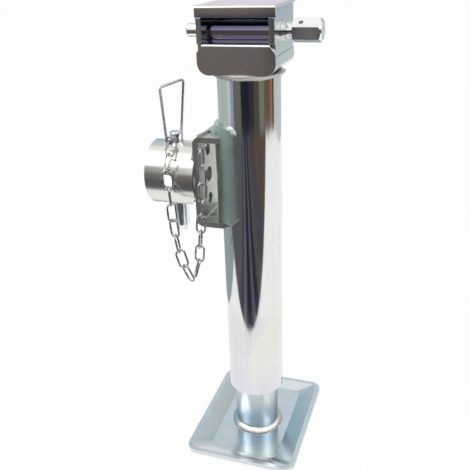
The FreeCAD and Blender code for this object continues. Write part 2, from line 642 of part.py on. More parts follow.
def drive_shaft(pinion_pin):
    """The cross shaft, turned on its own axis, with the hexagon for the crank."""
    washer_room = "Sizes.shaft_washer_height + 2 * Sizes.end_clearance"
    shoulder_start = f"({FRAME_RIGHT} + Sizes.flange_height + {washer_room})"
    shoulder_end = f"({shoulder_start} + Sizes.shoulder_length)"
    shoulder = "Sizes.shoulder_diameter / 2"
    profile = (
        (0, "-Sizes.shaft_left"),
        (f"{SHAFT_RADIUS} - Sizes.shaft_chamfer", "-Sizes.shaft_left"),
        (SHAFT_RADIUS, "Sizes.shaft_chamfer - Sizes.shaft_left"),
        (SHAFT_RADIUS, shoulder_start),
        (shoulder, shoulder_start),
        (shoulder, shoulder_end),
        (SHAFT_RADIUS, shoulder_end),
        (SHAFT_RADIUS, "Sizes.hexagon_start + 1"),
        (0, "Sizes.hexagon_start + 1"),
    )
    axis = (0, 0, "Sizes.shaft_height")
    bar = turned("shaft_bar", profile, axis, ALONG_X)
    prism = doc.addObject("Part::Prism", "shaft_hexagon")
    prism.Polygon = 6
    bind(
        prism,
        Circumradius="Sizes.hexagon_flats / 2 / cos(30 deg)",
        Height="Sizes.hexagon_end - Sizes.hexagon_start",
    )
    turn = Rotation(Z_AXIS, value("Sizes.hexagon_turn"))
    place(prism, ("Sizes.hexagon_start", 0, "Sizes.shaft_height"), ALONG_X.multiply(turn))
    corner = "Sizes.hexagon_flats / 2 / cos(30 deg)"
    shape_profile = (
        (0, "Sizes.hexagon_start"),
        (f"{corner} - Sizes.hexagon_chamfer / 2", "Sizes.hexagon_start"),
        (f"{corner} + Sizes.hexagon_chamfer / 2", "Sizes.hexagon_start + Sizes.hexagon_chamfer / 2"),
        (f"{corner} + Sizes.hexagon_chamfer / 2", "Sizes.hexagon_end - 1.5 * Sizes.hexagon_chamfer"),
        (f"{corner} - Sizes.hexagon_chamfer", "Sizes.hexagon_end"),
        (0, "Sizes.hexagon_end"),
    )
    envelope = turned("hexagon_envelope", shape_profile, axis, ALONG_X)
    hexagon = common("hexagon_end_piece", prism, envelope)
    blank = fuse("shaft_blank", bar, hexagon)
    hole_length = "1.4 * Sizes.hexagon_flats"
    hole_turn = Rotation(X_AXIS, 30 + value("Sizes.hexagon_turn"))
    half = value(hole_length) / 2
    start = hole_turn.multVec(Z_AXIS) * -half
    hole = cylinder(
        "crank_hole",
        "Sizes.crank_hole_diameter / 2",
        hole_length,
        (
            "Sizes.hexagon_start + Sizes.crank_hole_inset",
            start.y,
            f"Sizes.shaft_height + {start.z}",
        ),
        hole_turn,
    )
    pin_hole = plain_part("pinion_pin_hole", pinion_pin)
    return cut("drive_shaft", blank, hole, pin_hole)


def shaft_bush(name, outer_face, side):
    """A flanged bush in one wall of the frame, with its flange outside."""
    length = "(Sizes.head_sheet + Sizes.flange_height)"
    profile = (
        (SHAFT_BORE, 0),
        ("Sizes.bush_diameter / 2", 0),
        ("Sizes.bush_diameter / 2", "Sizes.head_sheet"),
        ("Sizes.flange_diameter / 2", "Sizes.head_sheet"),
        ("Sizes.flange_diameter / 2", length),
        (SHAFT_BORE, length),
    )
    rotation = ALONG_X if side > 0 else Rotation(Y_AXIS, -90)
    start = f"{outer_face} - {side} * Sizes.head_sheet"
    return turned(name, profile, (start, 0, "Sizes.shaft_height"), rotation)


def shaft_washer(name, start):
    height = "Sizes.shaft_washer_height"
    outer = "Sizes.flange_diameter / 2 - 1"
    return ring(name, outer, SHAFT_RADIUS, height, (start, 0, "Sizes.shaft_height"), ALONG_X)


def cup_block(name, inset, front):
    """The rounded block of the lower housing, made smaller by an inset for its hollow."""
    body = doc.addObject("PartDesign::Body", name)
    sketch = new_sketch(body, "XY_Plane")
    back = f"Sizes.head_back + Sizes.frame_step - {inset}"
    left, right = f"{HEAD_LEFT} + {inset}", f"{HEAD_RIGHT} - {inset}"
    add_outline(sketch, ((left, front), (right, front), (right, back), (left, back)))
    pad(body, sketch, "Sizes.seam_height - Sizes.head_low")
    back_edge, front_edge = value(back), value(front)

    def rounded(edge):
        middle = edge.CenterOfMass
        bottom = middle.z < 0.01 and middle.y > front_edge + 0.01
        corner = runs_along(edge, Z_AXIS) and middle.y > back_edge - 0.01
        return bottom or corner

    fillet(body, f"Sizes.housing_corner - {inset}", rounded)
    return place(body, (0, 0, f"Sizes.head_low + {inset}"))


def lower_housing():
    """A pressed cup, open to the front and the top, with rounded bottom edges."""
    outer = cup_block("housing_outside", 0, PLATE_BACK)
    inner = cup_block("housing_hollow", "Sizes.head_sheet", "-Sizes.head_front")
    hole = cylinder(
        "housing_hole",
        "Sizes.crown_hub_diameter / 2 + Sizes.bore_clearance",
        "2 * Sizes.head_sheet",
        (0, 0, "Sizes.head_low - Sizes.head_sheet / 2"),
    )
    return cut("lower_housing", outer, inner, hole)


def front_plate():
    """The plate below the window: chamfered shoulders and a rolled upper edge."""
    body = doc.addObject("PartDesign::Body", "front_plate")
    sketch = new_sketch(body, "XZ_Plane")
    window_left = f"{FRAME_LEFT} + Sizes.window_side"
    window_right = f"{FRAME_RIGHT} - Sizes.window_side"
    corners = (
        (HEAD_LEFT, "Sizes.head_low"),
        (HEAD_RIGHT, "Sizes.head_low"),
        (HEAD_RIGHT, "Sizes.shoulder_height"),
        (window_right, "Sizes.window_low"),
        (window_left, "Sizes.window_low"),
        (HEAD_LEFT, "Sizes.shoulder_height"),
    )
    add_outline(sketch, corners)
    pad(body, sketch, "Sizes.head_sheet")
    low = value("Sizes.head_low")
    fillet(
        body,
        "Sizes.housing_corner",
        lambda edge: runs_along(edge, Y_AXIS) and edge.CenterOfMass.z < low + 0.01,
    )
    high = value("Sizes.window_low")
    fillet(
        body,
        "Sizes.bend_radius",
        lambda edge: runs_along(edge, X_AXIS)
        and edge.CenterOfMass.z > high - 0.01
        and edge.CenterOfMass.y < -0.01,
    )
    return place(body, (0, PLATE_BACK, 0))


def top_cover():
    """The top plate, bent down at the front over the window."""
    body = doc.addObject("PartDesign::Body", "top_cover")
    sketch = new_sketch(body, "YZ_Plane")
    lip_low = "Sizes.head_top - Sizes.lip_height"
    corners = (
        ("-Sizes.head_front", lip_low),
        ("-Sizes.head_front", "Sizes.head_top"),
        ("Sizes.head_back", "Sizes.head_top"),
        ("Sizes.head_back", FRAME_TOP),
        (PLATE_BACK, FRAME_TOP),
        (PLATE_BACK, lip_low),
    )
    add_outline(sketch, corners)
    pad(body, sketch, "Sizes.head_width", middle=True)
    top, front = value("Sizes.head_top"), value("-Sizes.head_front")

    def bend(edge):
        middle = edge.CenterOfMass
        return middle.z > top - 0.01 and middle.y < front + 0.01

    fillet(body, "Sizes.bend_radius", bend)
    back = value("Sizes.head_back")

    def rear_corner(edge):
        return runs_along(edge, Z_AXIS) and edge.CenterOfMass.y > back - 0.01

    fillet(body, "Sizes.cover_corner", rear_corner)
    return place(body, ("Sizes.head_offset", 0, 0))


def head_frame():
    """Walls in one bent sheet on the edge of the lower housing, with strips beside the window."""
    body = doc.addObject("PartDesign::Body", "frame_walls")
    sketch = new_sketch(body, "XY_Plane")
    inner_right = f"{FRAME_RIGHT} - Sizes.head_sheet"
    inner_left = f"{FRAME_LEFT} + Sizes.head_sheet"
    inner_back = "Sizes.head_back - Sizes.head_sheet"
    corners = (
        (FRAME_LEFT, PLATE_BACK),
        (inner_left, PLATE_BACK),
        (inner_left, inner_back),
        (inner_right, inner_back),
        (inner_right, PLATE_BACK),
        (FRAME_RIGHT, PLATE_BACK),
        (FRAME_RIGHT, "Sizes.head_back"),
        (FRAME_LEFT, "Sizes.head_back"),
    )
    add_outline(sketch, corners)
    pad(body, sketch, f"{FRAME_TOP} - Sizes.seam_height")
    back = value("Sizes.head_back")

    def outer_back_corner(edge):
        return runs_along(edge, Z_AXIS) and edge.CenterOfMass.y > back - 0.01

    fillet(body, "Sizes.housing_corner - Sizes.frame_step", outer_back_corner)

    def inner_back_corner(edge):
        middle = edge.CenterOfMass
        near_back = back - value("Sizes.head_sheet") - 0.01 < middle.y < back - 0.01
        inside = value(inner_left) - 0.01 < middle.x < value(inner_right) + 0.01
        return runs_along(edge, Z_AXIS) and near_back and inside

    inner_corner = "Sizes.housing_corner - Sizes.frame_step - Sizes.head_sheet"
    fillet(body, inner_corner, inner_back_corner)
    place(body, (0, 0, "Sizes.seam_height"))
    strip_low = "Sizes.window_low"
    strip_height = "Sizes.head_top - Sizes.lip_height - Sizes.window_low"
    strip_size = ("Sizes.window_side", "Sizes.head_sheet", strip_height)
    front = "-Sizes.head_front"
    left = box("strip_left", strip_size, (FRAME_LEFT, front, strip_low))
    right_start = f"{FRAME_RIGHT} - Sizes.window_side"
    right = box("strip_right", strip_size, (right_start, front, strip_low))
    tie_size = ("Sizes.head_sheet", "Sizes.head_sheet", strip_height)
    tie_left = box("strip_bend_left", tie_size, (FRAME_LEFT, PLATE_BACK, strip_low))
    tie_start = f"{FRAME_RIGHT} - Sizes.head_sheet"
    tie_right = box("strip_bend_right", tie_size, (tie_start, PLATE_BACK, strip_low))
    walls = fuse("frame_sheet", body, left, right, tie_left, tie_right)
    holes = cylinder(
        "frame_shaft_holes",
        "Sizes.bush_diameter / 2",
        "2 * Sizes.head_width",
        ("-Sizes.head_width", 0, "Sizes.shaft_height"),
        ALONG_X,
    )
    return cut("head_frame", walls, holes)


def gear_shroud():
    """A half-round cover over the shaft and pinion, with an apron down to the front plate."""
    outer = value("Sizes.shroud_radius")
    sheet_size = value("Sizes.shroud_sheet")
    axis = value("Sizes.shaft_height")
    front = value(PLATE_BACK)
    apron_low = value("Sizes.window_low") - sheet_size
    apron_high = axis - outer * 0.39 - sheet_size
    left = value(FRAME_LEFT) + value("Sizes.head_sheet")
    right = value(FRAME_RIGHT) - value("Sizes.head_sheet")
    reach = math.sqrt(outer**2 - (axis - apron_high - sheet_size) ** 2)
    knee = -reach - sheet_size * 3

    def profile(offset, radius):
        low, high = apron_low + offset, apron_high + offset
        bend = math.sqrt(radius**2 - (axis - high) ** 2)
        points = [Vector(left, front, low), Vector(left, knee, high), Vector(left, -bend, high)]
        return points, Vector(left, 0, axis + radius), Vector(left, bend, high)

    over, crest, end = profile(sheet_size, outer)
    under, inner_crest, inner_end = profile(0, outer - sheet_size)
    edges = [
        Part.makeLine(over[0], over[1]),
        Part.makeLine(over[1], over[2]),
        Part.Arc(over[2], crest, end).toShape(),
        Part.makeLine(end, inner_end),
        Part.Arc(inner_end, inner_crest, under[2]).toShape(),
        Part.makeLine(under[2], under[1]),
        Part.makeLine(under[1], under[0]),
        Part.makeLine(under[0], over[0]),
    ]
    face = Part.Face(Part.Wire(edges))
    return plain_part("gear_shroud", face.extrude(X_AXIS * (right - left)))


def mount_pipe():
    """The socket pipe, with four cross holes at the station of the locking pin."""
    length = f"(Sizes.pipe_mouth - Sizes.bracket_outer)"
    at = ("-Sizes.pipe_mouth", 0, "Sizes.pipe_height")
    pipe = ring("pipe_blank", PIPE_RADIUS, PIPE_BORE, length, at, ALONG_X)
    through = "2 * Sizes.pipe_diameter"
    upright = cylinder(
        "pipe_hole_upright",
        PIN_BORE,
        through,
        ("-Sizes.pin_station", 0, "Sizes.pipe_height - Sizes.pipe_diameter"),
    )
    level = cylinder(
        "pipe_hole_level",
        PIN_BORE,
        through,
        ("-Sizes.pin_station", "-Sizes.pipe_diameter", "Sizes.pipe_height"),
        ALONG_Y,
    )
    return cut("mount_pipe", pipe, upright, level)


def web_holes():
    """Three holes in a row, one over the other, through the bracket's web."""
    places = (
        ("middle", "Sizes.middle_hole_diameter / 2", "Sizes.pipe_height"),
        ("upper", "Sizes.bolt_hole_diameter / 2", "Sizes.pipe_height + Sizes.bolt_spacing"),
        ("lower", "Sizes.bolt_hole_diameter / 2", "Sizes.pipe_height - Sizes.bolt_spacing"),
    )
    start, length = "-Sizes.bracket_outer", "2 * Sizes.bracket_plate"
    return [
        cylinder(f"bracket_hole_{which}", radius, length, (start, 0, height), ALONG_X)
        for which, radius, height in places
    ]


def pipe_weld():
    """The weld bead round the pipe, as far as the bracket's web reaches."""
    at = ("-Sizes.bracket_outer", 0, "Sizes.pipe_height")
    bead = fillet_weld("pipe_weld_bead", PIPE_RADIUS, "Sizes.weld_leg", 0, False, at, ALONG_X)
    room = box(
        "pipe_weld_room",
        ("2 * Sizes.weld_leg", "Sizes.bracket_width", "Sizes.bracket_height"),
        (
            "-Sizes.bracket_outer - 2 * Sizes.weld_leg",
            "-Sizes.bracket_width / 2",
            "Sizes.bracket_low",
        ),
    )
    return common("pipe_weld", bead, room)


def mount_bracket():
    """A channel with its web towards the pipe and both flanges welded round the tube."""
    body = doc.addObject("PartDesign::Body", "bracket_channel")
    sketch = new_sketch(body, "XZ_Plane")
    web, free = "-Sizes.bracket_outer", "-Sizes.bracket_inner + Sizes.bracket_bend"
    low, high = "Sizes.bracket_low", BRACKET_TOP
    web_inner = "Sizes.bracket_plate - Sizes.bracket_outer"
    corners = (
        (web, low),
        (free, low),
        (free, f"{low} + Sizes.bracket_plate"),
        (web_inner, f"{low} + Sizes.bracket_plate"),
        (web_inner, f"{high} - Sizes.bracket_plate"),
        (free, f"{high} - Sizes.bracket_plate"),
        (free, high),
        (web, high),
    )
    add_outline(sketch, corners)
    pad(body, sketch, "Sizes.bracket_width", middle=True)
    outer, inner = value(web), value(web_inner)

    def outer_bend(edge):
        return runs_along(edge, Y_AXIS) and edge.CenterOfMass.x < outer + 0.01

    fillet(body, "Sizes.bracket_bend", outer_bend)

    def inner_bend(edge):
        return runs_along(edge, Y_AXIS) and abs(edge.CenterOfMass.x - inner) < 0.01

    fillet(body, "Sizes.bracket_bend - Sizes.bracket_plate", inner_bend)
    tube_room = cylinder(
        "bracket_tube_room", TUBE_RADIUS, "2 * Sizes.bracket_height", (0, 0, "Sizes.bracket_low - 1")
    )
    saddle_room = cylinder(
        "bracket_saddle_room", SADDLE_RADIUS, "Sizes.bracket_height", (0, 0, "Sizes.saddle_low")
    )
    chain_hole = cylinder(
        "bracket_chain_holes",
        "Sizes.chain_hole_diameter / 2",
        "2 * Sizes.bracket_height",
        ("-Sizes.chain_hole_reach", "-Sizes.chain_hole_depth", "Sizes.bracket_low - 1"),
    )
    return cut("mount_bracket", body, tube_room, saddle_room, chain_hole, *web_holes())


def bracket_saddle():
    """A curved plate on the tube that spreads the load of the bracket."""
    height = "(Sizes.saddle_high - Sizes.saddle_low)"
    shell = ring("saddle_shell", SADDLE_RADIUS, TUBE_RADIUS, height, (0, 0, "Sizes.saddle_low"))
    body = doc.addObject("PartDesign::Body", "saddle_outline")
    sketch = new_sketch(body, "XZ_Plane")
    far = "-Sizes.tube_diameter"
    corners = (
        (far, "Sizes.saddle_low"),
        ("-Sizes.saddle_edge", "Sizes.saddle_low"),
        ("-Sizes.saddle_edge", "Sizes.saddle_high"),
        (far, "Sizes.saddle_high"),
    )
    add_outline(sketch, corners)
    pad(body, sketch, "2 * Sizes.tube_diameter", middle=True)
    near_edge = value("-Sizes.saddle_edge")

    def free_corner(edge):
        return runs_along(edge, Y_AXIS) and edge.CenterOfMass.x > near_edge - 0.01

    fillet(body, "Sizes.saddle_corner", free_corner)
    return common("bracket_saddle", shell, body)


def bracket_welds():
    """The bead over the upper flange and the bead under the lower one."""
    upper = fillet_weld("weld_upper", SADDLE_RADIUS, "Sizes.weld_leg", BRACKET_TOP, True)
    lower = fillet_weld("weld_lower", TUBE_RADIUS, "Sizes.weld_leg", "Sizes.bracket_low", False)
    reach = "(Sizes.bracket_outer - Sizes.bracket_inner)"
    room = box(
        "weld_room",
        (reach, "Sizes.bracket_width", "1.4 * Sizes.bracket_height"),
        (
            "-Sizes.bracket_outer",
            "-Sizes.bracket_width / 2",
            "Sizes.bracket_low - 0.2 * Sizes.bracket_height",
        ),
    )
    pieces = [common(f"bead_{number}", bead, room) for number, bead in enumerate((upper, lower))]
    result = doc.addObject("Part::Compound", "bracket_welds")
    result.Links = pieces
    return result


def locking_pin():
    tip = f"({PIN_RADIUS} * 0.72)"
    profile = (
        (0, "Sizes.pin_low"),
        (tip, "Sizes.pin_low"),
        (PIN_RADIUS, "Sizes.pin_low + Sizes.pin_taper"),
        (PIN_RADIUS, "Sizes.pin_top - Sizes.pin_chamfer"),
        (f"{PIN_RADIUS} - Sizes.pin_chamfer", "Sizes.pin_top"),
        (0, "Sizes.pin_top"),
    )
    blank = turned("pin_blank", profile, ("-Sizes.pin_station", 0, 0))
    cross = cylinder(
        "pin_cross_hole",
        "Sizes.handle_wire / 2 + Sizes.running_clearance",
        "2 * Sizes.pin_diameter",
        ("-Sizes.pin_station", "-Sizes.pin_diameter", "Sizes.handle_height"),
        ALONG_Y,
    )
    return cut("locking_pin", blank, cross)


def bent_wire(points, radii):
    """Straight runs joined by tangent arcs, with a radius for each corner."""
    edges = []
    start = points[0]
    for before, corner, after, radius in zip(points, points[1:], points[2:], radii):
        to_before = (before - corner).normalize()
        to_after = (after - corner).normalize()
        half = to_before.getAngle(to_after) / 2
        trim = radius / math.tan(half)
        middle = (to_before + to_after).normalize()
        centre = corner + middle * (radius / math.sin(half))
        first, last = corner + to_before * trim, corner + to_after * trim
        edges.append(Part.LineSegment(start, first).toShape())
        edges.append(Part.Arc(first, centre - middle * radius, last).toShape())
        start = last
    edges.append(Part.LineSegment(start, points[-1]).toShape())
    return Part.Wire(edges)


# The two upper corners of the handle, from the middle of the locking pin's cross hole.
HANDLE_BACK_CORNER = Vector(
    value("Sizes.handle_back_side"),
    value("Sizes.handle_back_depth"),
    value("Sizes.handle_back_height"),
)
HANDLE_FRONT_CORNER = Vector(
    value("-Sizes.handle_front_side"),
    value("-Sizes.handle_front_depth"),
    value("Sizes.handle_front_height"),
)


def pin_handle():
    """Bent wire through the pin, with an eye in front that holds the chain."""
    hole = Vector(value("-Sizes.pin_station"), 0, value("Sizes.handle_height"))
    eye, radius = value("Sizes.eye_radius"), value("Sizes.handle_wire / 2")
    front = Vector(0, value("-Sizes.handle_eye"), 0)
    middle = hole + front
    corners = [
        middle + Z_AXIS * eye,
        middle + Y_AXIS * (1.6 * eye),
        hole + Y_AXIS * value(f"{PIN_RADIUS} * 1.75"),
        hole + HANDLE_BACK_CORNER,
        hole + HANDLE_FRONT_CORNER,
        middle - X_AXIS * eye,
    ]
    bends = [1.4 * eye, 1.2 * eye] + [value("Sizes.handle_bend")] * 2
    wire = wire_along(bent_wire(corners, bends), radius)
    loop = Part.makeTorus(eye, value("Sizes.eye_wire / 2"), middle, Y_AXIS)
    return plain_part("pin_handle", wire.fuse(loop).removeSplitter())


# The chain's route. Its pin side runs from the handle's eye over the front of the pipe and
# down, and its bracket side hangs from the anchor link to the bottom of the loop. The last
# number of each point is its height over the pipe's axis.
PIN_SIDE_ROUTE = (
    (-75.5, -15.0, 35.3),
    (-74.5, -30.2, 27.2),
    (-74.4, -38.7, 15.8),
    (-72.3, -39.2, -17.8),
    (-70.4, -39.2, -49.3),
    (-67.4, -39.3, -68.8),
    (-63.4, -39.5, -85.3),
    (-54.6, -39.7, -103.3),
)
BRACKET_SIDE_ROUTE = (
    (-40.0, -29.4, 34.3),
    (-40.6, -31.8, -5.3),
    (-43.2, -33.2, -39.3),
    (-46.8, -32.2, -71.3),
    (-49.3, -30.6, -87.3),
    (-56.0, -29.6, -104.3),
)
# How far each link is turned about its own length from lying across the front, in degrees.
PIN_SIDE_TURNS = (-45, 35, -25, 60, -50, 10, 80, -30, 25)
BRACKET_SIDE_TURNS = (90, 15, -45, 60, 0, 85, 0, 60)


def walk(route, step, count):
    """Points along a route of straight runs, each one step from the one before."""
    pipe_axis = Vector(0, 0, value("Sizes.pipe_height"))
    spots = [Vector(*spot) + pipe_axis for spot in route]
    joints = [spots[0]]
    run = 0
    while len(joints) <= count:
        here = joints[-1]
        while run < len(spots) - 2 and (spots[run + 1] - here).Length < step:
            run += 1
        along = (spots[run + 1] - spots[run]).normalize()
        offset = here - spots[run]
        travelled = offset.dot(along)
        aside = (offset - along * travelled).Length
        joints.append(spots[run] + along * (travelled + math.sqrt(step**2 - aside**2)))
    return joints


def chain_link(start, end, turn):
    """One oval link of round wire between two joints, turned about its own length."""
    wire = value("Sizes.chain_wire / 2")
    bend = value("Sizes.link_width") / 2 - wire
    half = value("Sizes.link_length") / 2 - wire - bend
    pieces = [
        Part.makeCylinder(wire, 2 * half, Vector(-half, side * bend, 0), X_AXIS)
        for side in (-1, 1)
    ]
    for side in (-1, 1):
        bow = Part.makeTorus(bend, wire, Vector(), Z_AXIS, -180, 180, 180)
        bow.rotate(Vector(), Z_AXIS, 90 * -side)
        bow.translate(Vector(side * half, 0, 0))
        pieces.append(bow)
    link = pieces[0].multiFuse(pieces[1:]).removeSplitter()
    along = (end - start).normalize()
    across = (X_AXIS - along * X_AXIS.dot(along)).normalize()
    across = Rotation(along, turn).multVec(across)
    frame = Rotation(along, across, along.cross(across), "XYZ")
    link.Placement = Placement((start + end) / 2, frame)
    return link


def strand(route, turns):
    step = value("Sizes.link_length - 2 * Sizes.chain_wire - Sizes.link_play")
    joints = walk(route, step, len(turns))
    return [chain_link(*spots, turn) for *spots, turn in zip(joints, joints[1:], turns)]


def anchor_link():
    """A bent loop of wire through the hole of the upper flange and over its front edge."""
    wire = value("Sizes.chain_wire / 2")
    middle = value(f"{BRACKET_TOP} - Sizes.bracket_plate / 2")
    above = middle + value("Sizes.bracket_plate") / 2 + 1.4 * wire
    below = middle - value("Sizes.bracket_plate") / 2 - 1.4 * wire
    low = middle - value("Sizes.anchor_drop")
    back = value("-Sizes.chain_hole_depth")
    front = value("-Sizes.bracket_width / 2") - 2.4 * wire
    reach = value("-Sizes.chain_hole_reach")
    half = value("Sizes.link_width") / 2 - wire
    corners = [
        Vector(reach, back, middle),
        Vector(reach, back, above),
        Vector(reach - half, front, above),
        Vector(reach - half, front, low),
        Vector(reach + half, front, low),
        Vector(reach + half, front, below),
        Vector(reach, back, below),
        Vector(reach, back, middle),
    ]
    bends = [1.5 * wire, 2 * wire, 0.9 * half, 0.9 * half, 1.2 * wire, 1.5 * wire]
    edges = bent_wire(corners, bends).Edges
    half_way = len(edges) // 2
    halves = [wire_along(Part.Wire(run), wire) for run in (edges[:half_way], edges[half_way:])]
    return halves[0].fuse(halves[1]).removeSplitter()


def chain():
    """Two strands of links: one follows the locking pin, the other hangs from the bracket."""
    pin_side = strand(PIN_SIDE_ROUTE, PIN_SIDE_TURNS)
    bracket_side = strand(BRACKET_SIDE_ROUTE, BRACKET_SIDE_TURNS) + [anchor_link()]
    return (
        plain_part("chain_pin_side", Part.makeCompound(pin_side)),
        plain_part("chain_bracket_side", Part.makeCompound(bracket_side)),
    )


def build():
    pinion, pinion_pin = bevel_pinion()
    crown_pin = gear_pin()
    lower_race, upper_race, balls = thrust_bearing()
    pin_side, bracket_side = chain()
    foot_weld = fillet_weld("foot_weld", LEG_RADIUS, "Sizes.foot_weld_leg", "Sizes.foot_sheet", True)
    head_weld = fillet_weld("head_weld", TUBE_RADIUS, "Sizes.weld_leg", "Sizes.head_low", False)
    washer_start = f"{FRAME_RIGHT} + Sizes.flange_height + Sizes.end_clearance"
    right_washer = shaft_washer("shaft_washer", washer_start)
    ring_start = f"{FRAME_LEFT} - Sizes.flange_height - Sizes.shaft_washer_height - Sizes.end_clearance"
    retaining_ring = shaft_washer("retaining_ring", ring_start)
    return [
        outer_tube(),
        guide_bush(),
        guide_key(),
        inner_tube(),
        foot_plate(),
        foot_weld,
        head_weld,
        lead_screw(crown_pin),
        drive_nut(),
        lower_race,
        upper_race,
        balls,
        thrust_plate(),
        crown_washer(),
        crown_gear(crown_pin),
        crown_pin,
        pinion,
        plain_part("pinion_pin", pinion_pin),
        drive_shaft(pinion_pin),
        shaft_bush("shaft_bush_right", FRAME_RIGHT, 1),
        shaft_bush("shaft_bush_left", FRAME_LEFT, -1),
        right_washer,
        retaining_ring,
        lower_housing(),
        front_plate(),
        top_cover(),
        head_frame(),
        gear_shroud(),
        mount_pipe(),
        pipe_weld(),
        mount_bracket(),
        bracket_saddle(),
        bracket_welds(),
        locking_pin(),
        pin_handle(),
        pin_side,
        bracket_side,
    ]


def check_document():
    for item in doc.Objects:
        if "Invalid" in item.State or "Error" in item.State:
            raise RuntimeError(f"{item.Label} failed to build: {item.State}")


def export(nodes):
    os.makedirs("parts", exist_ok=True)
    for item in nodes:
        shape = item.Shape
        if shape.isNull() or not shape.isValid() or not shape.Solids:
            raise RuntimeError(f"{item.Label} has no valid solid")
        shape.exportStep(os.path.join("parts", f"{item.Label}.step"))
        print(f"{item.Label}: {len(shape.Solids)} solid(s), {shape.Volume:.1f} mm3")


pieces = build()
doc.recompute()
check_document()
export(pieces)
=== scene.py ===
import json
import math

import bmesh
import bpy
from bpy.props import FloatProperty, FloatVectorProperty, PointerProperty
from mathutils import Matrix, Vector


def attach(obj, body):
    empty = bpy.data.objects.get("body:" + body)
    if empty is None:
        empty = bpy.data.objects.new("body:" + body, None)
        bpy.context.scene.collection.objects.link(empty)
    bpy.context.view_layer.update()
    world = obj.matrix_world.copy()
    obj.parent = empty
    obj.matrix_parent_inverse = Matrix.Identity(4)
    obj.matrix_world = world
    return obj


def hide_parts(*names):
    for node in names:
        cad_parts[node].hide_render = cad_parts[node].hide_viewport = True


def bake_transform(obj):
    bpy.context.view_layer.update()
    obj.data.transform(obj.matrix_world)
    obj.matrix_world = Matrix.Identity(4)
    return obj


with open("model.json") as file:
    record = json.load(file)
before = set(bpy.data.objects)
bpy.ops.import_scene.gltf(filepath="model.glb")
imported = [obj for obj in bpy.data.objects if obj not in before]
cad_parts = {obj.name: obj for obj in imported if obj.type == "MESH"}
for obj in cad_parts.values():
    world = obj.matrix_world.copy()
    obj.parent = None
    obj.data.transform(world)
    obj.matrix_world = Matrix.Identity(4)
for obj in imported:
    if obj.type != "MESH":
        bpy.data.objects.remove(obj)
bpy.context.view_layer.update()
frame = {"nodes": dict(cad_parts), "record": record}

bl_info = {
    "name": "Trailer prop stand",
    "version": (1, 0, 0),
    "blender": (4, 5, 0),
    "location": "View3D > Sidebar > Prop Stand",
    "description": "Plated finishes, weld beads and chain for a trailer prop stand",
    "category": "Object",
}

MM = 0.001

# Which body carries each node.
BODY_OF = {
    node: body
    for body, nodes in frame["record"]["behaviour"]["bodies"].items()
    for node in nodes
}


def linear(code):
    """An sRGB hex colour as linear red, green and blue, with full alpha."""
    shares = [int(code[place : place + 2], 16) / 255 for place in (1, 3, 5)]
    values = [s / 12.92 if s <= 0.04045 else ((s + 0.055) / 1.055) ** 2.4 for s in shares]
    return tuple(values + [1.0])


def add_node(tree, kind, inputs=None, **settings):
    """Adds a node, sets what it is told, and links or fills its sockets."""
    node = tree.nodes.new(kind)
    for name, setting in settings.items():
        setattr(node, name, setting)
    for socket, source in (inputs or {}).items():
        if isinstance(source, bpy.types.NodeSocket):
            tree.links.new(source, node.inputs[socket])
        else:
            node.inputs[socket].default_value = source
    return node


# Sizes and colours that a user would change


class StandFinish(bpy.types.PropertyGroup):
    """Colours of the bare finishes"""

    zinc: FloatVectorProperty(
        name="Bright zinc", description="Zinc plating on the tubes", subtype="COLOR",
        size=4, min=0, max=1, default=linear("#F0F1F2"),
    )
    sheet: FloatVectorProperty(
        name="Head zinc", description="Zinc plating on the pressed head", subtype="COLOR",
        size=4, min=0, max=1, default=linear("#F0F0F2"),
    )
    plate: FloatVectorProperty(
        name="Plate zinc", description="Zinc plating on foot and bracket", subtype="COLOR",
        size=4, min=0, max=1, default=linear("#E2E7EA"),
    )
    machined: FloatVectorProperty(
        name="Turned steel", description="Turned and milled pieces", subtype="COLOR",
        size=4, min=0, max=1, default=linear("#FCFCFC"),
    )
    wire: FloatVectorProperty(
        name="Wire", description="Chain and handle wire", subtype="COLOR",
        size=4, min=0, max=1, default=linear("#D2D3D5"),
    )
    weld: FloatVectorProperty(
        name="Weld", description="Weld beads under the plating", subtype="COLOR",
        size=4, min=0, max=1, default=linear("#F0F0EE"),
    )
    bronze: FloatVectorProperty(
        name="Bronze", description="Bushes", subtype="COLOR",
        size=4, min=0, max=1, default=linear("#B58A52"),
    )


class StandSizes(bpy.types.PropertyGroup):
    """Sizes of the pieces that the scene models itself"""

    chain_wire: FloatProperty(
        name="Chain wire", description="Thickness of the chain's wire",
        unit="LENGTH", default=2.0 * MM, min=0.5 * MM, max=4 * MM,
    )
    link_length: FloatProperty(
        name="Link length", description="Outside length of a link",
        unit="LENGTH", default=21.3 * MM, min=10 * MM, max=40 * MM,
    )
    link_width: FloatProperty(
        name="Link width", description="Outside width of a link",
        unit="LENGTH", default=11 * MM, min=6 * MM, max=20 * MM,
    )
    link_play: FloatProperty(
        name="Link play", description="Play between one link and the next",
        unit="LENGTH", default=0.3 * MM, min=0, max=2 * MM,
    )
    ripple: FloatProperty(
        name="Weld ripple", description="Distance from one ripple of a bead to the next",
        unit="LENGTH", default=2.6 * MM, min=1 * MM, max=6 * MM,
    )
    edge: FloatProperty(
        name="Edge radius", description="Rounding on sheared and sawn edges",
        unit="LENGTH", default=0.35 * MM, min=0, max=1 * MM,
    )


class StandStage(bpy.types.PropertyGroup):
    """Camera, lamps and paper"""

    lens: FloatProperty(
        name="Lens", description="Focal length of the camera in mm", default=48.34,
        min=20, max=120,
    )
    key: FloatProperty(
        name="Key lamp", description="Power of the key lamp in watts", default=9.0,
        min=0, max=100,
    )
    fill: FloatProperty(
        name="Fill lamp", description="Power of the fill lamp in watts", default=4.0,
        min=0, max=100,
    )
    paper: FloatVectorProperty(
        name="Paper", description="Floor and backdrop", subtype="COLOR",
        size=4, min=0, max=1, default=linear("#F2F2F0"),
    )


def finish():
    """The colours that the user set."""
    return bpy.context.scene.stand_finish


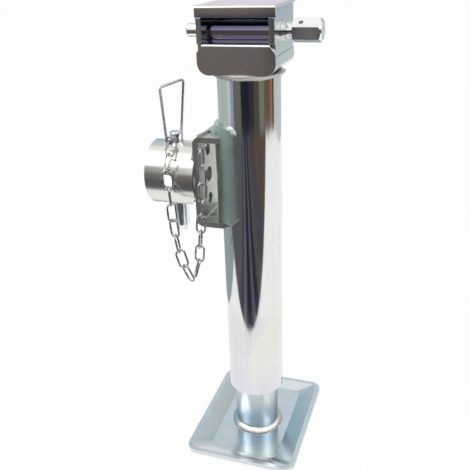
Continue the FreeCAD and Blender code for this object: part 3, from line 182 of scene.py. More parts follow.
def sizes():
    """The sizes that the user set."""
    return bpy.context.scene.stand_sizes


# Materials

# The noise values at the two ends of the clouds' tints and of the streaks' shades.
CLOUD_RANGE = (0.34, 0.66)
STREAK_RANGE = {"From Min": 0.3, "From Max": 0.7}
# Dark pits: the width of the cells that hold one each, in pits, where a pit's soft rim starts and
# ends, in cells from its middle, and their colour.
PIT_SPACING = 16
PIT_RIM = (0.03, 0.06)
PIT_COLOUR = "#6E6C68"
# The height of the grain, as a share of its width.
GRAIN_HEIGHT = 0.2


def blended(tree, mode, share, under, over):
    """One colour laid over another; a Mix node's colour sockets are 6 and 7, its result is 2."""
    return add_node(
        tree, "ShaderNodeMix", {0: share, 6: under, 7: over}, data_type="RGBA", blend_type=mode
    ).outputs[2]


def ramped(tree, value, low, high, colours):
    """A value between low and high as a run of colours."""
    ramp = add_node(tree, "ShaderNodeValToRGB", {"Fac": value})
    stops = ramp.color_ramp.elements
    stops[0].position, stops[1].position = low, high
    stops[0].color, stops[1].color = linear(colours[0]), linear(colours[-1])
    for number, colour in enumerate(colours[1:-1], start=1):
        stops.new(low + (high - low) * number / (len(colours) - 1)).color = linear(colour)
    return ramp.outputs["Color"]


def plated(
    name, base, tints, patch, streak, rough, grain, bump,
    stretch=(1, 1, 1), depth=0.94, pits=0.0, tints_by_height=None,
):
    """A plated metal: clouds of passivation tint, fine streaks and a grain in its gloss.

    patch, streak, grain and pits are real sizes in metres, and stretch draws the streaks out.
    rough is the least and the greatest roughness, bump the strength of the grain, and depth the
    darkest that a streak gets. tints_by_height is a lower and an upper height with the tints run
    between them: a colour by height, which on some pieces is a painted reflection or painted shade.
    """
    material = bpy.data.materials.get(name)
    if material:
        return material
    material = bpy.data.materials.new(name)
    material.use_nodes = True
    tree = material.node_tree
    tree.nodes.clear()
    place = add_node(tree, "ShaderNodeTexCoord").outputs["Object"]
    clouds = add_node(
        tree, "ShaderNodeTexNoise",
        {"Vector": place, "Scale": 1 / patch, "Detail": 3.0, "Roughness": 0.5, "Distortion": 0.8},
    )
    colour = blended(
        tree, "MULTIPLY", 1.0, base, ramped(tree, clouds.outputs["Fac"], *CLOUD_RANGE, tints)
    )
    # Tints run by height; on some pieces these are a painted reflection or painted shade.
    if tints_by_height:
        low, high, run = tints_by_height
        above_ground = add_node(tree, "ShaderNodeSeparateXYZ", {"Vector": place}).outputs["Z"]
        share = add_node(
            tree, "ShaderNodeMapRange", {"Value": above_ground, "From Min": low, "From Max": high}
        )
        colour = blended(
            tree, "MULTIPLY", 1.0, colour, ramped(tree, share.outputs["Result"], 0.0, 1.0, run)
        )
    drawn = add_node(tree, "ShaderNodeMapping", {"Vector": place, "Scale": stretch})
    streaks = add_node(
        tree, "ShaderNodeTexNoise",
        {"Vector": drawn.outputs["Vector"], "Scale": 1 / streak, "Detail": 4.0, "Roughness": 0.6},
    ).outputs["Fac"]
    shade = add_node(
        tree, "ShaderNodeMapRange",
        {"Value": streaks, **STREAK_RANGE, "To Min": depth, "To Max": 1.0},
    )
    colour = blended(tree, "MULTIPLY", 1.0, colour, shade.outputs["Result"])
    smooth, dull = rough
    gloss = add_node(
        tree, "ShaderNodeMapRange",
        {"Value": streaks, **STREAK_RANGE, "To Min": dull, "To Max": smooth},
    ).outputs["Result"]
    bumps = add_node(
        tree, "ShaderNodeTexNoise",
        {"Vector": place, "Scale": 1 / grain, "Detail": 2.0, "Roughness": 0.5},
    ).outputs["Fac"]
    if pits:
        cells = add_node(
            tree, "ShaderNodeTexVoronoi", {"Vector": place, "Scale": 1 / (pits * PIT_SPACING)}
        )
        spot = add_node(
            tree, "ShaderNodeMapRange",
            {"Value": cells.outputs["Distance"], "From Min": PIT_RIM[0], "From Max": PIT_RIM[1],
             "To Min": 1.0, "To Max": 0.0},
        ).outputs["Result"]
        colour = blended(tree, "MIX", spot, colour, linear(PIT_COLOUR))
        gloss = add_node(
            tree, "ShaderNodeMath", {0: gloss, 1: spot}, operation="MAXIMUM"
        ).outputs[0]
    relief = add_node(
        tree, "ShaderNodeBump",
        {"Height": bumps, "Strength": bump, "Distance": grain * GRAIN_HEIGHT},
    ).outputs["Normal"]
    shader = add_node(
        tree, "ShaderNodeBsdfPrincipled",
        {"Base Color": colour, "Metallic": 1.0, "Roughness": gloss, "Normal": relief},
    )
    add_node(tree, "ShaderNodeOutputMaterial", {"Surface": shader.outputs["BSDF"]})
    return material


def tube_zinc():
    """Bright zinc on drawn tube: a near mirror with long draw lines, faint tints and a few pits."""
    return plated(
        "bright_zinc_on_drawn_tube", finish().zinc,
        ("#F4F2FA", "#FBFBFA", "#F8F9F8", "#FBFAF0"), 0.11, 0.0035, (0.05, 0.13),
        0.0015, 0.02, (1, 1, 0.02), 0.95, 0.0006,
        (0.06, 0.18, ("#F8F6FF", "#FEFDF9", "#FDFCF2", "#FFFFFF")),
    )


def leg_zinc():
    """Zinc on the leg: the same tube, dulled a little where it slides, with a painted reflection of
    the foot, blue grey towards the bottom.
    """
    return plated(
        "satin_zinc_on_leg_painted_reflection", finish().plate,
        ("#F2F5F8", "#FBFBFA", "#F8F8F2"), 0.05, 0.003, (0.24, 0.32),
        0.0015, 0.02, (1, 1, 0.03), 0.96, 0.0,
        # painted reflection of the foot: blue grey near the bottom, clearing upward
        (0.008, 0.06, ("#B9C9DA", "#C9D8E4", "#F2F6F6", "#FFFFFA")),
    )


def sheet_zinc():
    """Zinc on pressed sheet: smooth and satin, with soft lilac and straw tints."""
    return plated(
        "satin_zinc_on_pressed_sheet", finish().sheet,
        ("#F4F1F8", "#F9F8F6", "#F4F6F6", "#F8F6F0"), 0.05, 0.006, (0.1, 0.17), 0.0012, 0.015,
    )


def cup_zinc():
    """Zinc on the deep drawn cup: the same satin, a little warmer."""
    return plated(
        "warm_zinc_on_drawn_cup", finish().sheet,
        ("#F4F3EA", "#F8F7F0", "#F2F2EC"), 0.05, 0.006, (0.14, 0.22), 0.0012, 0.015,
    )


def wall_zinc():
    """Zinc on the head's walls: bluer towards the top, clear below."""
    return plated(
        "blue_zinc_on_head_walls", finish().sheet,
        ("#F2F4F6", "#F8F8F6", "#F4F6F4"), 0.05, 0.006, (0.12, 0.2), 0.0012, 0.015,
        tints_by_height=(0.44, 0.466, ("#F6F6F0", "#E8EEEE", "#D2E2E8")),
    )


def lip_zinc():
    """Zinc on the top plate with a painted reflection: pale straw along the bend, running to lilac
    at the lip's lower edge.
    """
    return plated(
        "top_plate_zinc_with_painted_reflection", finish().sheet,
        ("#F6F5F2", "#F9F9F6"), 0.05, 0.006, (0.1, 0.17), 0.0012, 0.015,
        # painted reflection: tints by height stand in for what the lip mirrors
        tints_by_height=(0.461, 0.4705, ("#A79CCB", "#E2DEE6", "#FAF7EC", "#FFFDF2")),
    )


def shroud_zinc_painted_shade_and_reflection():
    """Zinc inside the head, with painted shade and reflection: a darker base for the shade behind
    the window, and lilac, light and green bands by height for what the cover mirrors.
    """
    return plated(
        # painted shade: the darker base colour
        "gear_cover_zinc_painted_shade_and_reflection", linear("#C4C0CC"),
        ("#E8E6F0", "#F2F4F0"), 0.05, 0.006, (0.1, 0.18), 0.0012, 0.02,
        # painted reflection and shade: a light band between dark lilac and green ones
        tints_by_height=(0.436, 0.462, ("#D2CDEA", "#D6D1EA", "#F8F4E0", "#9C97BC", "#5E7A6E", "#8C9C94")),
    )


def plate_zinc():
    """Zinc on thick plate: blue white with cloudy straw, lilac and blue tints."""
    return plated(
        "blue_zinc_on_steel_plate", finish().plate,
        ("#F0F4F8", "#FAFAFA", "#F2F6F5", "#F9F8F2"), 0.06, 0.012, (0.16, 0.24),
        0.003, 0.015, depth=0.97,
    )


def channel_zinc():
    """Zinc on hot rolled plate: warm grey and satin over the scale's fine texture."""
    return plated(
        "grey_zinc_on_rolled_plate", linear("#D6D5D0"),
        ("#F0F2EE", "#FAFAF8", "#F6F4EE"), 0.02, 0.004, (0.36, 0.46), 0.0016, 0.03, depth=0.93,
    )


def saddle_zinc():
    """Zinc on bent plate: blue green, satin, with lengthwise marks from the bend."""
    return plated(
        "green_zinc_on_bent_plate", linear("#E0EAE5"),
        ("#E6F0EA", "#F8FAF8", "#EAF2F0"), 0.02, 0.003, (0.34, 0.44), 0.0012, 0.04,
        (1, 1, 0.1), 0.88,
    )


def pipe_zinc():
    """Zinc on sawn thick tube: satin, with fine rings left by turning."""
    return plated(
        "satin_zinc_on_turned_pipe", finish().zinc,
        ("#F6F4F0", "#FBF9F0", "#F6F2E4"), 0.03, 0.0016, (0.2, 0.27), 0.001, 0.02,
        (1, 0.05, 0.05), 0.95,
    )


def machined_zinc():
    """Turned steel, plated: fine tool rings and a soft gloss."""
    return plated(
        "zinc_on_turned_steel", finish().machined,
        ("#F4F2F6", "#FBFBFA", "#F2F4F6"), 0.02, 0.0016, (0.07, 0.15), 0.0008, 0.03, (0.06, 1, 1),
    )


def wire_zinc():
    """Zinc on drawn wire: bright, a little patchy where the links rub."""
    return plated(
        "zinc_on_drawn_wire", finish().wire,
        ("#E4E0D6", "#F8F8F6", "#F0F0F0"), 0.006, 0.0015, (0.2, 0.36), 0.0008, 0.05, depth=0.85,
    )


def weld_zinc():
    """Weld metal under zinc: cream and grey, duller than the plate beside it."""
    return plated(
        "zinc_on_weld_metal", finish().weld,
        ("#EEEEEA", "#FAFAF8", "#F0F2F8"), 0.009, 0.002, (0.22, 0.34), 0.0009, 0.1, depth=0.86,
    )


def head_weld_zinc():
    """Zinc on the bead below the head: the same weld metal, greyer in the head's shade."""
    return plated(
        "shaded_zinc_on_head_weld", finish().weld,
        ("#CFCBC8", "#D8D4D0", "#C8C6C8"), 0.009, 0.002, (0.22, 0.34), 0.0009, 0.1, depth=0.8,
    )


def bearing_steel():
    """Ground bearing steel: grey, oiled and smooth."""
    return plated(
        "ground_bearing_steel", linear("#A9ABAE"),
        ("#EFECE6", "#F6F6F6"), 0.01, 0.002, (0.08, 0.16), 0.001, 0.03,
    )


def bush_bronze():
    """Sintered bronze: brown gold with a fine open grain."""
    return plated(
        "sintered_bronze", finish().bronze,
        ("#F0E6D8", "#FFFFFF", "#EADDC8"), 0.006, 0.0012, (0.28, 0.42), 0.0006, 0.2,
    )


# Making and placing pieces

# Vertices closer than this, in metres, are one, and flatter edges than this, in degrees, go.
SAME_PLACE = 2e-6
FLAT_ANGLE = 0.4


def put(name, bm, material, body, nodes, sharp=35):
    """Turns a bmesh into a piece that replaces nodes and rides on a body, or on none yet."""
    for face in bm.faces:
        face.smooth = True
    limit = math.radians(sharp)
    for edge in bm.edges:
        edge.smooth = len(edge.link_faces) == 2 and edge.calc_face_angle(math.pi) < limit
    mesh = bpy.data.meshes.new(name)
    bm.to_mesh(mesh)
    bm.free()
    piece = bpy.data.objects.new(name, mesh)
    bpy.context.collection.objects.link(piece)
    mesh.materials.append(material)
    if body:
        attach(piece, body)
    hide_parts(*nodes)
    return piece


def dress(node, name, material, edge=None, crease=35, rounded=40):
    """A merged, smooth copy of a CAD solid with softly rounded edges.

    Edges sharper than crease stay creases, and those sharper than rounded get the edge's radius.
    Both are angles in degrees.
    """
    bm = bmesh.new()
    bm.from_mesh(frame["nodes"][node].data)
    bmesh.ops.remove_doubles(bm, verts=bm.verts, dist=SAME_PLACE)
    bmesh.ops.dissolve_limit(
        bm, angle_limit=math.radians(FLAT_ANGLE), verts=bm.verts, edges=bm.edges,
        use_dissolve_boundaries=False,
    )
    piece = put(name, bm, material, BODY_OF[node], (node,), crease)
    width = sizes().edge if edge is None else edge
    if width:
        bevel = piece.modifiers.new("edge", "BEVEL")
        bevel.width = width
        bevel.segments = 2
        bevel.limit_method = "ANGLE"
        bevel.angle_limit = math.radians(rounded)
        bevel.harden_normals = True
        bevel.use_clamp_overlap = True
    return piece


class PROPSTAND_OT_tubes(bpy.types.Operator):
    """The main tube and the leg inside it"""

    bl_idname = "propstand.tubes"
    bl_label = "Tubes"

    def execute(self, context):
        dress("outer_tube", "main_tube", tube_zinc())
        dress("inner_tube", "leg_tube", leg_zinc())
        dress("guide_bush", "leg_guide_bush", bush_bronze())
        dress("guide_key", "leg_guide_key", machined_zinc())
        return {"FINISHED"}


class PROPSTAND_OT_head(bpy.types.Operator):
    """The pressed head with its window, top plate and gear cover"""

    bl_idname = "propstand.head"
    bl_label = "Head"

    def execute(self, context):
        for node, name, zinc in (
            ("lower_housing", "head_cup", cup_zinc),
            ("front_plate", "head_front_plate", sheet_zinc),
            ("head_frame", "head_side_walls", wall_zinc),
            ("top_cover", "head_top_plate", lip_zinc),
            ("gear_shroud", "head_gear_cover", shroud_zinc_painted_shade_and_reflection),
            ("thrust_plate", "head_thrust_plate", sheet_zinc),
        ):
            dress(node, name, zinc())
        return {"FINISHED"}


class PROPSTAND_OT_drive(bpy.types.Operator):
    """Crank shaft, bevel gears, screw, nut and bearing"""

    bl_idname = "propstand.drive"
    bl_label = "Drive"

    def execute(self, context):
        for node, name in (
            ("drive_shaft", "crank_shaft"),
            ("bevel_pinion", "bevel_pinion_gear"),
            ("pinion_pin", "pinion_cross_pin"),
            ("shaft_washer", "shaft_side_washer"),
            ("retaining_ring", "shaft_retaining_ring"),
            ("crown_gear", "bevel_crown_gear"),
            ("gear_pin", "crown_cross_pin"),
            ("lead_screw", "lifting_screw"),
            ("drive_nut", "lifting_nut"),
        ):
            dress(node, name, machined_zinc())
        for node, name in (
            ("bearing_lower_race", "thrust_race_lower"),
            ("bearing_upper_race", "thrust_race_upper"),
            ("bearing_balls", "thrust_balls"),
            ("crown_washer", "crown_thrust_washer"),
        ):
            dress(node, name, bearing_steel())
        for node, name in (
            ("shaft_bush_left", "shaft_flange_bush_left"),
            ("shaft_bush_right", "shaft_flange_bush_right"),
        ):
            dress(node, name, machined_zinc())
        return {"FINISHED"}


class PROPSTAND_OT_mount(bpy.types.Operator):
    """Saddle, channel bracket and socket pipe"""

    bl_idname = "propstand.mount"
    bl_label = "Mount"

    def execute(self, context):
        dress("mount_bracket", "mount_channel", channel_zinc(), 0.5 * MM)
        dress("bracket_saddle", "mount_saddle", saddle_zinc(), 0.8 * MM)
        dress("mount_pipe", "socket_pipe", pipe_zinc(), 0.5 * MM)
        return {"FINISHED"}


class PROPSTAND_OT_foot(bpy.types.Operator):
    """The pressed foot plate"""

    bl_idname = "propstand.foot"
    bl_label = "Foot"

    def execute(self, context):
        dress("foot_plate", "pressed_foot", plate_zinc(), 1.4 * MM, 12, 13)
        return {"FINISHED"}


# Weld beads

# The outside radii, in mm, that the beads run round, and the leg of a bead.
TUBE_RADIUS = 30.15
LEG_RADIUS = 24.15
SADDLE_RADIUS = 34.45
PIPE_RADIUS = 32.7
BEAD_LEG = 4
FOOT_BEAD_LEG = 5.2
# The heights, in mm, of the faces that the beads lie on: the head's bottom, the foot's sheet and
# the bracket's top and bottom.
HEAD_BOTTOM = 411.4
FOOT_SHEET = 4.5
BRACKET_TOP = 353
BRACKET_BOTTOM = 260
# The pipe's end at the bracket, in mm: how far it is from the tubes' axis, and how high.
PIPE_END = (-50.5, 0, 307.3)
# How far to each side a bead runs that doesn't go all round, in degrees.
PIPE_BEAD_REACH = 49
SADDLE_BEAD_REACH = 37
TUBE_BEAD_REACH = 25

# How hollow the face of a bead is, how high its ripples are and how much of it stays plain at the
# corner that it fills, as shares of its leg.
HOLLOW = 0.17
RIPPLE_HEIGHT = 0.1
PLAIN_CORNER = 0.1
# How far a ripple bows out in its middle, in ripples, and how many steps of mesh make one.
RIPPLE_BOW = 0.45
STEPS_TO_A_RIPPLE = 6
# The slow swelling of a bead along its run: waves by their height as a share of the leg, their
# length in mm to each radian, and their start.
SWELLINGS = ((0.06, 9, 0), (0.05, 4.3, 1))


def bead(bm, radius, leg, height, up, turn=Matrix(), middle=0, half=180):
    """A rippled fillet weld round a tube, on the face at the given height, in mm and degrees.

    middle and half give the stretch that it covers round the tube.
    """
    side = 1 if up else -1
    corner = bm.verts.new((radius, 0, height))
    rim = [corner]
    for angle in range(0, 91, 15):
        share = math.radians(angle)
        reach = leg * (1 - HOLLOW * math.sin(2 * share))
        out, rise = reach * math.cos(share), side * reach * math.sin(share)
        rim.append(bm.verts.new((radius + out, 0, height + rise)))
    edges = [bm.edges.new(pair) for pair in zip(rim, rim[1:] + rim[:1])]
    bmesh.ops.rotate(bm, verts=rim, matrix=Matrix.Rotation(math.radians(middle - half), 3, "Z"))
    before = set(bm.verts) - set(rim)
    ripple = sizes().ripple / MM
    length = math.radians(2 * half) * radius
    full = half == 180
    bmesh.ops.spin(
        bm, geom=rim + edges, cent=(0, 0, 0), axis=(0, 0, 1), angle=math.radians(2 * half),
        steps=round(STEPS_TO_A_RIPPLE * length / ripple), use_merge=full, use_duplicate=False,
    )
    fresh = [vert for vert in bm.verts if vert not in before]
    for vert in fresh:
        outward = Vector((vert.co.x, vert.co.y, 0))
        reach, rise = outward.length - radius, side * (vert.co.z - height)
        if reach + rise < leg * PLAIN_CORNER:
            continue
        along = math.atan2(vert.co.y, vert.co.x) * radius
        across = (reach - rise) / leg
        swelling = sum(size * math.sin(along / run + start) for size, run, start in SWELLINGS)
        wave = abs(math.sin(math.pi * (along / ripple - RIPPLE_BOW * (1 - across**2))))
        push = leg * (swelling + RIPPLE_HEIGHT * (wave - 0.5) * (1 - across**2))
        from_corner = outward.normalized() * max(reach, 0) + Vector((0, 0, side * max(rise, 0)))
        vert.co += from_corner / leg * push
    if not full:
        open_edges = [edge for vert in fresh for edge in vert.link_edges if edge.is_boundary]
        bmesh.ops.holes_fill(bm, edges=list(set(open_edges)))
    bmesh.ops.transform(bm, verts=fresh, matrix=Matrix.Scale(MM, 4) @ turn)


class PROPSTAND_OT_welds(bpy.types.Operator):
    """Rippled beads at the head, foot, bracket and pipe"""

    bl_idname = "propstand.welds"
    bl_label = "Welds"

    def execute(self, context):
        sideways = Matrix.Translation(PIPE_END) @ Matrix.Rotation(math.pi / 2, 4, "Y")
        on_pipe = (PIPE_RADIUS, BEAD_LEG, 0, False, sideways)
        above = (SADDLE_RADIUS, BEAD_LEG, BRACKET_TOP, True, Matrix(), 180, SADDLE_BEAD_REACH)
        below = (TUBE_RADIUS, BEAD_LEG, BRACKET_BOTTOM, False, Matrix(), 180, TUBE_BEAD_REACH)
        beads = (
            ("head_bead", "head_weld", head_weld_zinc, (
                (TUBE_RADIUS, BEAD_LEG, HEAD_BOTTOM, False),
            )),
            ("foot_bead", "foot_weld", weld_zinc, (
                (LEG_RADIUS, FOOT_BEAD_LEG, FOOT_SHEET, True),
            )),
            ("pipe_bead", "pipe_weld", weld_zinc, (
                on_pipe + (0, PIPE_BEAD_REACH), on_pipe + (180, PIPE_BEAD_REACH),
            )),
            ("bracket_beads", "bracket_welds", weld_zinc, (above, below)),
        )
        for name, node, zinc, runs in beads:
            bm = bmesh.new()
            for run in runs:
                bead(bm, *run)
            bmesh.ops.recalc_face_normals(bm, faces=bm.faces)
            put(name, bm, zinc(), BODY_OF[node], (node,), sharp=60)
        return {"FINISHED"}


class PROPSTAND_OT_pin(bpy.types.Operator):
    """The locking pin and its wire handle"""

    bl_idname = "propstand.pin"
    bl_label = "Locking pin"

    def execute(self, context):
        dress("locking_pin", "lock_pin_body", machined_zinc())
        dress("pin_handle", "lock_pin_handle", wire_zinc(), 0)
        return {"FINISHED"}


# The chain

# Where the chain's two strands run, in mm, and how far each link is turned about its length, in
# degrees from lying across the front.
PIN_SIDE_ROUTE = (
    (-75.5, -15.0, 342.6),
    (-74.5, -30.2, 334.5),
    (-74.4, -38.7, 323.1),
    (-72.3, -39.2, 289.5),
    (-70.4, -39.2, 258.0),
    (-67.4, -39.3, 238.5),
    (-63.4, -39.5, 222.0),
    (-54.6, -39.7, 204.0),
)
BRACKET_SIDE_ROUTE = (
    (-40.0, -29.4, 341.6),
    (-40.6, -31.8, 302.0),
    (-43.2, -33.2, 268.0),
    (-46.8, -32.2, 236.0),
    (-49.3, -30.6, 220.0),
    (-54.4, -38.6, 198.0),
)
PIN_SIDE_TURNS = (-45, 35, -25, 60, -50, 10, 80, -30, 25)
BRACKET_SIDE_TURNS = (90, 15, -45, 60, 0, 85, 0, 60)

# The steps along a straight side of a link, as shares of its length, and at which of them the
# wire swells for the butt weld and thins again.
SIDE_STEPS = (0.34, 0.1, 0.06, 0.06, 0.1, 0.34)
SIDE_GROWTH = (0, 1, 0, 0, -1, 0)
WELD_SWELLING = 0.22


def walk(route, step, count):
    """Points along a route of straight runs, each one step from the one before."""
    spots = [Vector(spot) * MM for spot in route]
    joints = [spots[0]]
    run = 0
    while len(joints) <= count:
        here = joints[-1]
        while run < len(spots) - 2 and (spots[run + 1] - here).length < step:
            run += 1
        along = (spots[run + 1] - spots[run]).normalized()
        offset = here - spots[run]
        travelled = offset.dot(along)
        aside = (offset - along * travelled).length
        joints.append(spots[run] + along * (travelled + math.sqrt(step**2 - aside**2)))
    return joints


def oval_link(bm, start, end, turn):
    """One oval link of round wire, with the swelling of its butt weld on one side."""
    wire = sizes().chain_wire / 2
    bend = sizes().link_width / 2 - wire
    half = sizes().link_length / 2 - wire - bend
    before = set(bm.verts)
    ring = bmesh.ops.create_circle(bm, segments=12, radius=wire)["verts"]
    bmesh.ops.rotate(bm, verts=ring, matrix=Matrix.Rotation(math.pi / 2, 3, "Y"))
    bmesh.ops.translate(bm, verts=ring, vec=(-half, -bend, 0))
    edges = list({edge for vert in ring for edge in vert.link_edges})

    def straight(edges, travel, swelling):
        for share, sign in zip(SIDE_STEPS, SIDE_GROWTH):
            growth = sign * swelling
            pushed = bmesh.ops.extrude_edge_only(bm, edges=edges)["geom"]
            verts = [item for item in pushed if isinstance(item, bmesh.types.BMVert)]
            edges = [item for item in pushed if isinstance(item, bmesh.types.BMEdge)]
            bmesh.ops.translate(bm, verts=verts, vec=(travel * share, 0, 0))
            if growth:
                centre = sum((vert.co for vert in verts), Vector()) / len(verts)
                factor = 1 + growth if growth > 0 else 1 / (1 - growth)
                bmesh.ops.scale(
                    bm, verts=verts, vec=(1, factor, factor), space=Matrix.Translation(-centre)
                )
        return edges

    def bow(edges, centre):
        bent = bmesh.ops.spin(
            bm, geom=edges, cent=(centre, 0, 0), axis=(0, 0, 1), angle=math.pi, steps=12,
            use_merge=False, use_duplicate=False,
        )["geom_last"]
        return [item for item in bent if isinstance(item, bmesh.types.BMEdge)]

    edges = straight(edges, 2 * half, WELD_SWELLING)
    edges = bow(edges, half)
    edges = straight(edges, -2 * half, 0)
    bow(edges, -half)
    fresh = [vert for vert in bm.verts if vert not in before]
    bmesh.ops.remove_doubles(bm, verts=fresh, dist=wire * 0.02)
    fresh = [vert for vert in bm.verts if vert not in before]
    along = (end - start).normalized()
    across = Vector((1, 0, 0))
    across = (across - along * across.dot(along)).normalized()
    across = Matrix.Rotation(math.radians(turn), 3, along) @ across
    turned = Matrix((along, across, along.cross(across))).transposed()
    bmesh.ops.transform(
        bm, verts=fresh, matrix=Matrix.Translation((start + end) / 2) @ turned.to_4x4()
    )


def strand(bm, route, turns):
    """A run of links along a route, one for each turn."""
    step = sizes().link_length - 2 * sizes().chain_wire - sizes().link_play
    joints = walk(route, step, len(turns))
    for start, end, turn in zip(joints, joints[1:], turns):
        oval_link(bm, start, end, turn)
    bmesh.ops.recalc_face_normals(bm, faces=bm.faces)


def anchor_link(bm):
    """The bent link through the bracket's flange: of its node's solids, the one furthest back."""
    copy = bmesh.new()
    copy.from_mesh(frame["nodes"]["chain_bracket_side"].data)
    bmesh.ops.remove_doubles(copy, verts=copy.verts, dist=SAME_PLACE)
    wanted = {max(copy.verts, key=lambda vert: vert.co.y)}
    waiting = list(wanted)
    while waiting:
        vert = waiting.pop()
        for edge in vert.link_edges:
            other = edge.other_vert(vert)
            if other not in wanted:
                wanted.add(other)
                waiting.append(other)
    rest = [vert for vert in copy.verts if vert not in wanted]
    bmesh.ops.delete(copy, geom=rest, context="VERTS")
    mesh = bpy.data.meshes.new("anchor_link")
    copy.to_mesh(mesh)
    copy.free()
    bm.from_mesh(mesh)
    bpy.data.meshes.remove(mesh)


class PROPSTAND_OT_chain(bpy.types.Operator):
    """The chain between the pin's handle and the bracket"""

    bl_idname = "propstand.chain"
    bl_label = "Chain"

    def execute(self, context):
        for name, route, turns, node in (
            ("chain_strand_pin", PIN_SIDE_ROUTE, PIN_SIDE_TURNS, "chain_pin_side"),
            ("chain_strand_bracket", BRACKET_SIDE_ROUTE, BRACKET_SIDE_TURNS, "chain_bracket_side"),
        ):
            bm = bmesh.new()
            strand(bm, route, turns)
            if node == "chain_bracket_side":
                anchor_link(bm)
            piece = put(name, bm, wire_zinc(), None, (node,))
            # The loop's lowest links hang 0.2 m up. Both strands ride on no body and are baked in
            # place.
            if node == "chain_pin_side":
                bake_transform(piece)
            else:
                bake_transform(piece)
        return {"FINISHED"}


# The stage

# The photograph's camera, in mm and degrees.
CAMERA_PLACE = (180.7, -568.9, 516.1)
CAMERA_AZIMUTH = 19.41
CAMERA_DROP = 24.48
CAMERA_ROLL = -2.22

# The lamps' aim at the middle of the stand, their width and their places, in metres.
LAMP_AIM = (0, 0, 0.22)
LAMP_SIZE = 0.9
KEY_PLACE = (-0.9, -0.7, 1.6)
FILL_PLACE = (1.2, -0.4, 1.2)

# The paper's half width and how far it lies under the foot, in metres, and how much of its
# brightness is its own where camera or gloss see it.
PAPER_REACH = 12
PAPER_DROP = 0.0005
PAPER_GLOW = 0.94
# The sky's strength where only the diffuse light sees it.
SOFT_SKY = 0.7

# The room that only gloss sees: upright bands round the stand, each from one bearing to the next
# in degrees from the camera's side, with its lower and upper edge in metres and its colour.
ROOM_RADIUS = 1.35
ROOM_BANDS = (
    (-112, -88, 0.0, 1.0, "#B4BDBC"),
    (-88, -72, 0.0, 1.0, "#C4CED2"),
    (-72, -59, 0.0, 1.0, "#97A3AD"),
    (-59, -44, 0.0, 1.0, "#66686A"),
    (-44, -31, 0.0, 0.55, "#706966"),
    (-31, -22, 0.0, 0.55, "#1E2B27"),
    (-22, -2, 0.0, 0.55, "#20242E"),
    (-2, 15, 0.0, 0.55, "#34303A"),
    (15, 34, 0.0, 0.55, "#4E4D49"),
    (34, 53, 0.0, 0.55, "#7E7A6B"),
    (53, 78, 0.0, 0.55, "#625849"),
    (78, 88, 0.0, 0.7, "#A0705A"),
    (88, 96, 0.0, 0.7, "#4A3D3A"),
    (96, 106, 0.0, 0.7, "#CCC6C0"),
    (106, 160, 0.0, 0.5, "#C6D0D4"),
    (106, 160, 0.5, 1.9, "#BCC6C8"),
    (160, 190, 0.0, 0.42, "#FFFFFF"),
    (160, 190, 0.42, 0.85, "#E3DCEF"),
    (160, 190, 0.85, 1.9, "#DCE5EA"),
    (190, 248, 0.0, 0.22, "#B9C4C4"),
    (190, 248, 0.22, 0.85, "#8FB8C0"),
    (190, 248, 0.85, 1.9, "#C4CED6"),
)
# The dark floor beyond the white paper: strips that run away from the stand at a bearing, with
# their near end, length and height in metres, by their sideways place in metres.
DARK_FLOOR_BEARING = -21.8
DARK_FLOOR_NEAR = 0.252
DARK_FLOOR_LENGTH = 1.2
DARK_FLOOR_HEIGHT = 0.0005
DARK_FLOOR_STRIPS = (
    (-1.6, -0.2, "#5B595E"),
    (-0.2, -0.11, "#47485A"),
    (-0.11, -0.055, "#6E6C66"),
    (-0.055, -0.015, "#3A3C4E"),
    (-0.015, 0.025, "#1F1B26"),
    (0.025, 0.07, "#3A3C4C"),
    (0.07, 0.13, "#5A5A66"),
    (0.13, 0.22, "#2E2F40"),
    (0.22, 0.36, "#55534F"),
    (0.36, 0.6, "#4C4A54"),
    (0.6, 1.6, "#5A4E44"),
)
# The grey floor behind the stand's left side, where the white paper ends.
GREY_FLOOR_BEARING = -133.5
GREY_FLOOR_NEAR = 0.3
GREY_FLOOR_WIDTH = 1.4
GREY_FLOOR_LENGTH = 0.8
GREY_FLOOR_HEIGHT = 0.0004
GREY_FLOOR_COLOUR = "#97A6AA"


def card(name, colour, width, height):
    """A glowing sheet that only gloss sees."""
    bm = bmesh.new()
    bmesh.ops.create_grid(bm, x_segments=1, y_segments=1, size=0.5)
    bmesh.ops.scale(bm, verts=bm.verts, vec=(width, height, 1))
    mesh = bpy.data.meshes.new(name)
    bm.to_mesh(mesh)
    bm.free()
    item = bpy.data.objects.new(name, mesh)
    bpy.context.collection.objects.link(item)
    material = bpy.data.materials.new(name)
    material.use_nodes = True
    tree = material.node_tree
    tree.nodes.clear()
    glow = add_node(tree, "ShaderNodeEmission", {"Color": linear(colour), "Strength": 1.0})
    add_node(tree, "ShaderNodeOutputMaterial", {"Surface": glow.outputs["Emission"]})
    mesh.materials.append(material)
    item.visible_camera = False
    item.visible_diffuse = False
    item.visible_transmission = False
    item.visible_shadow = False
    return item


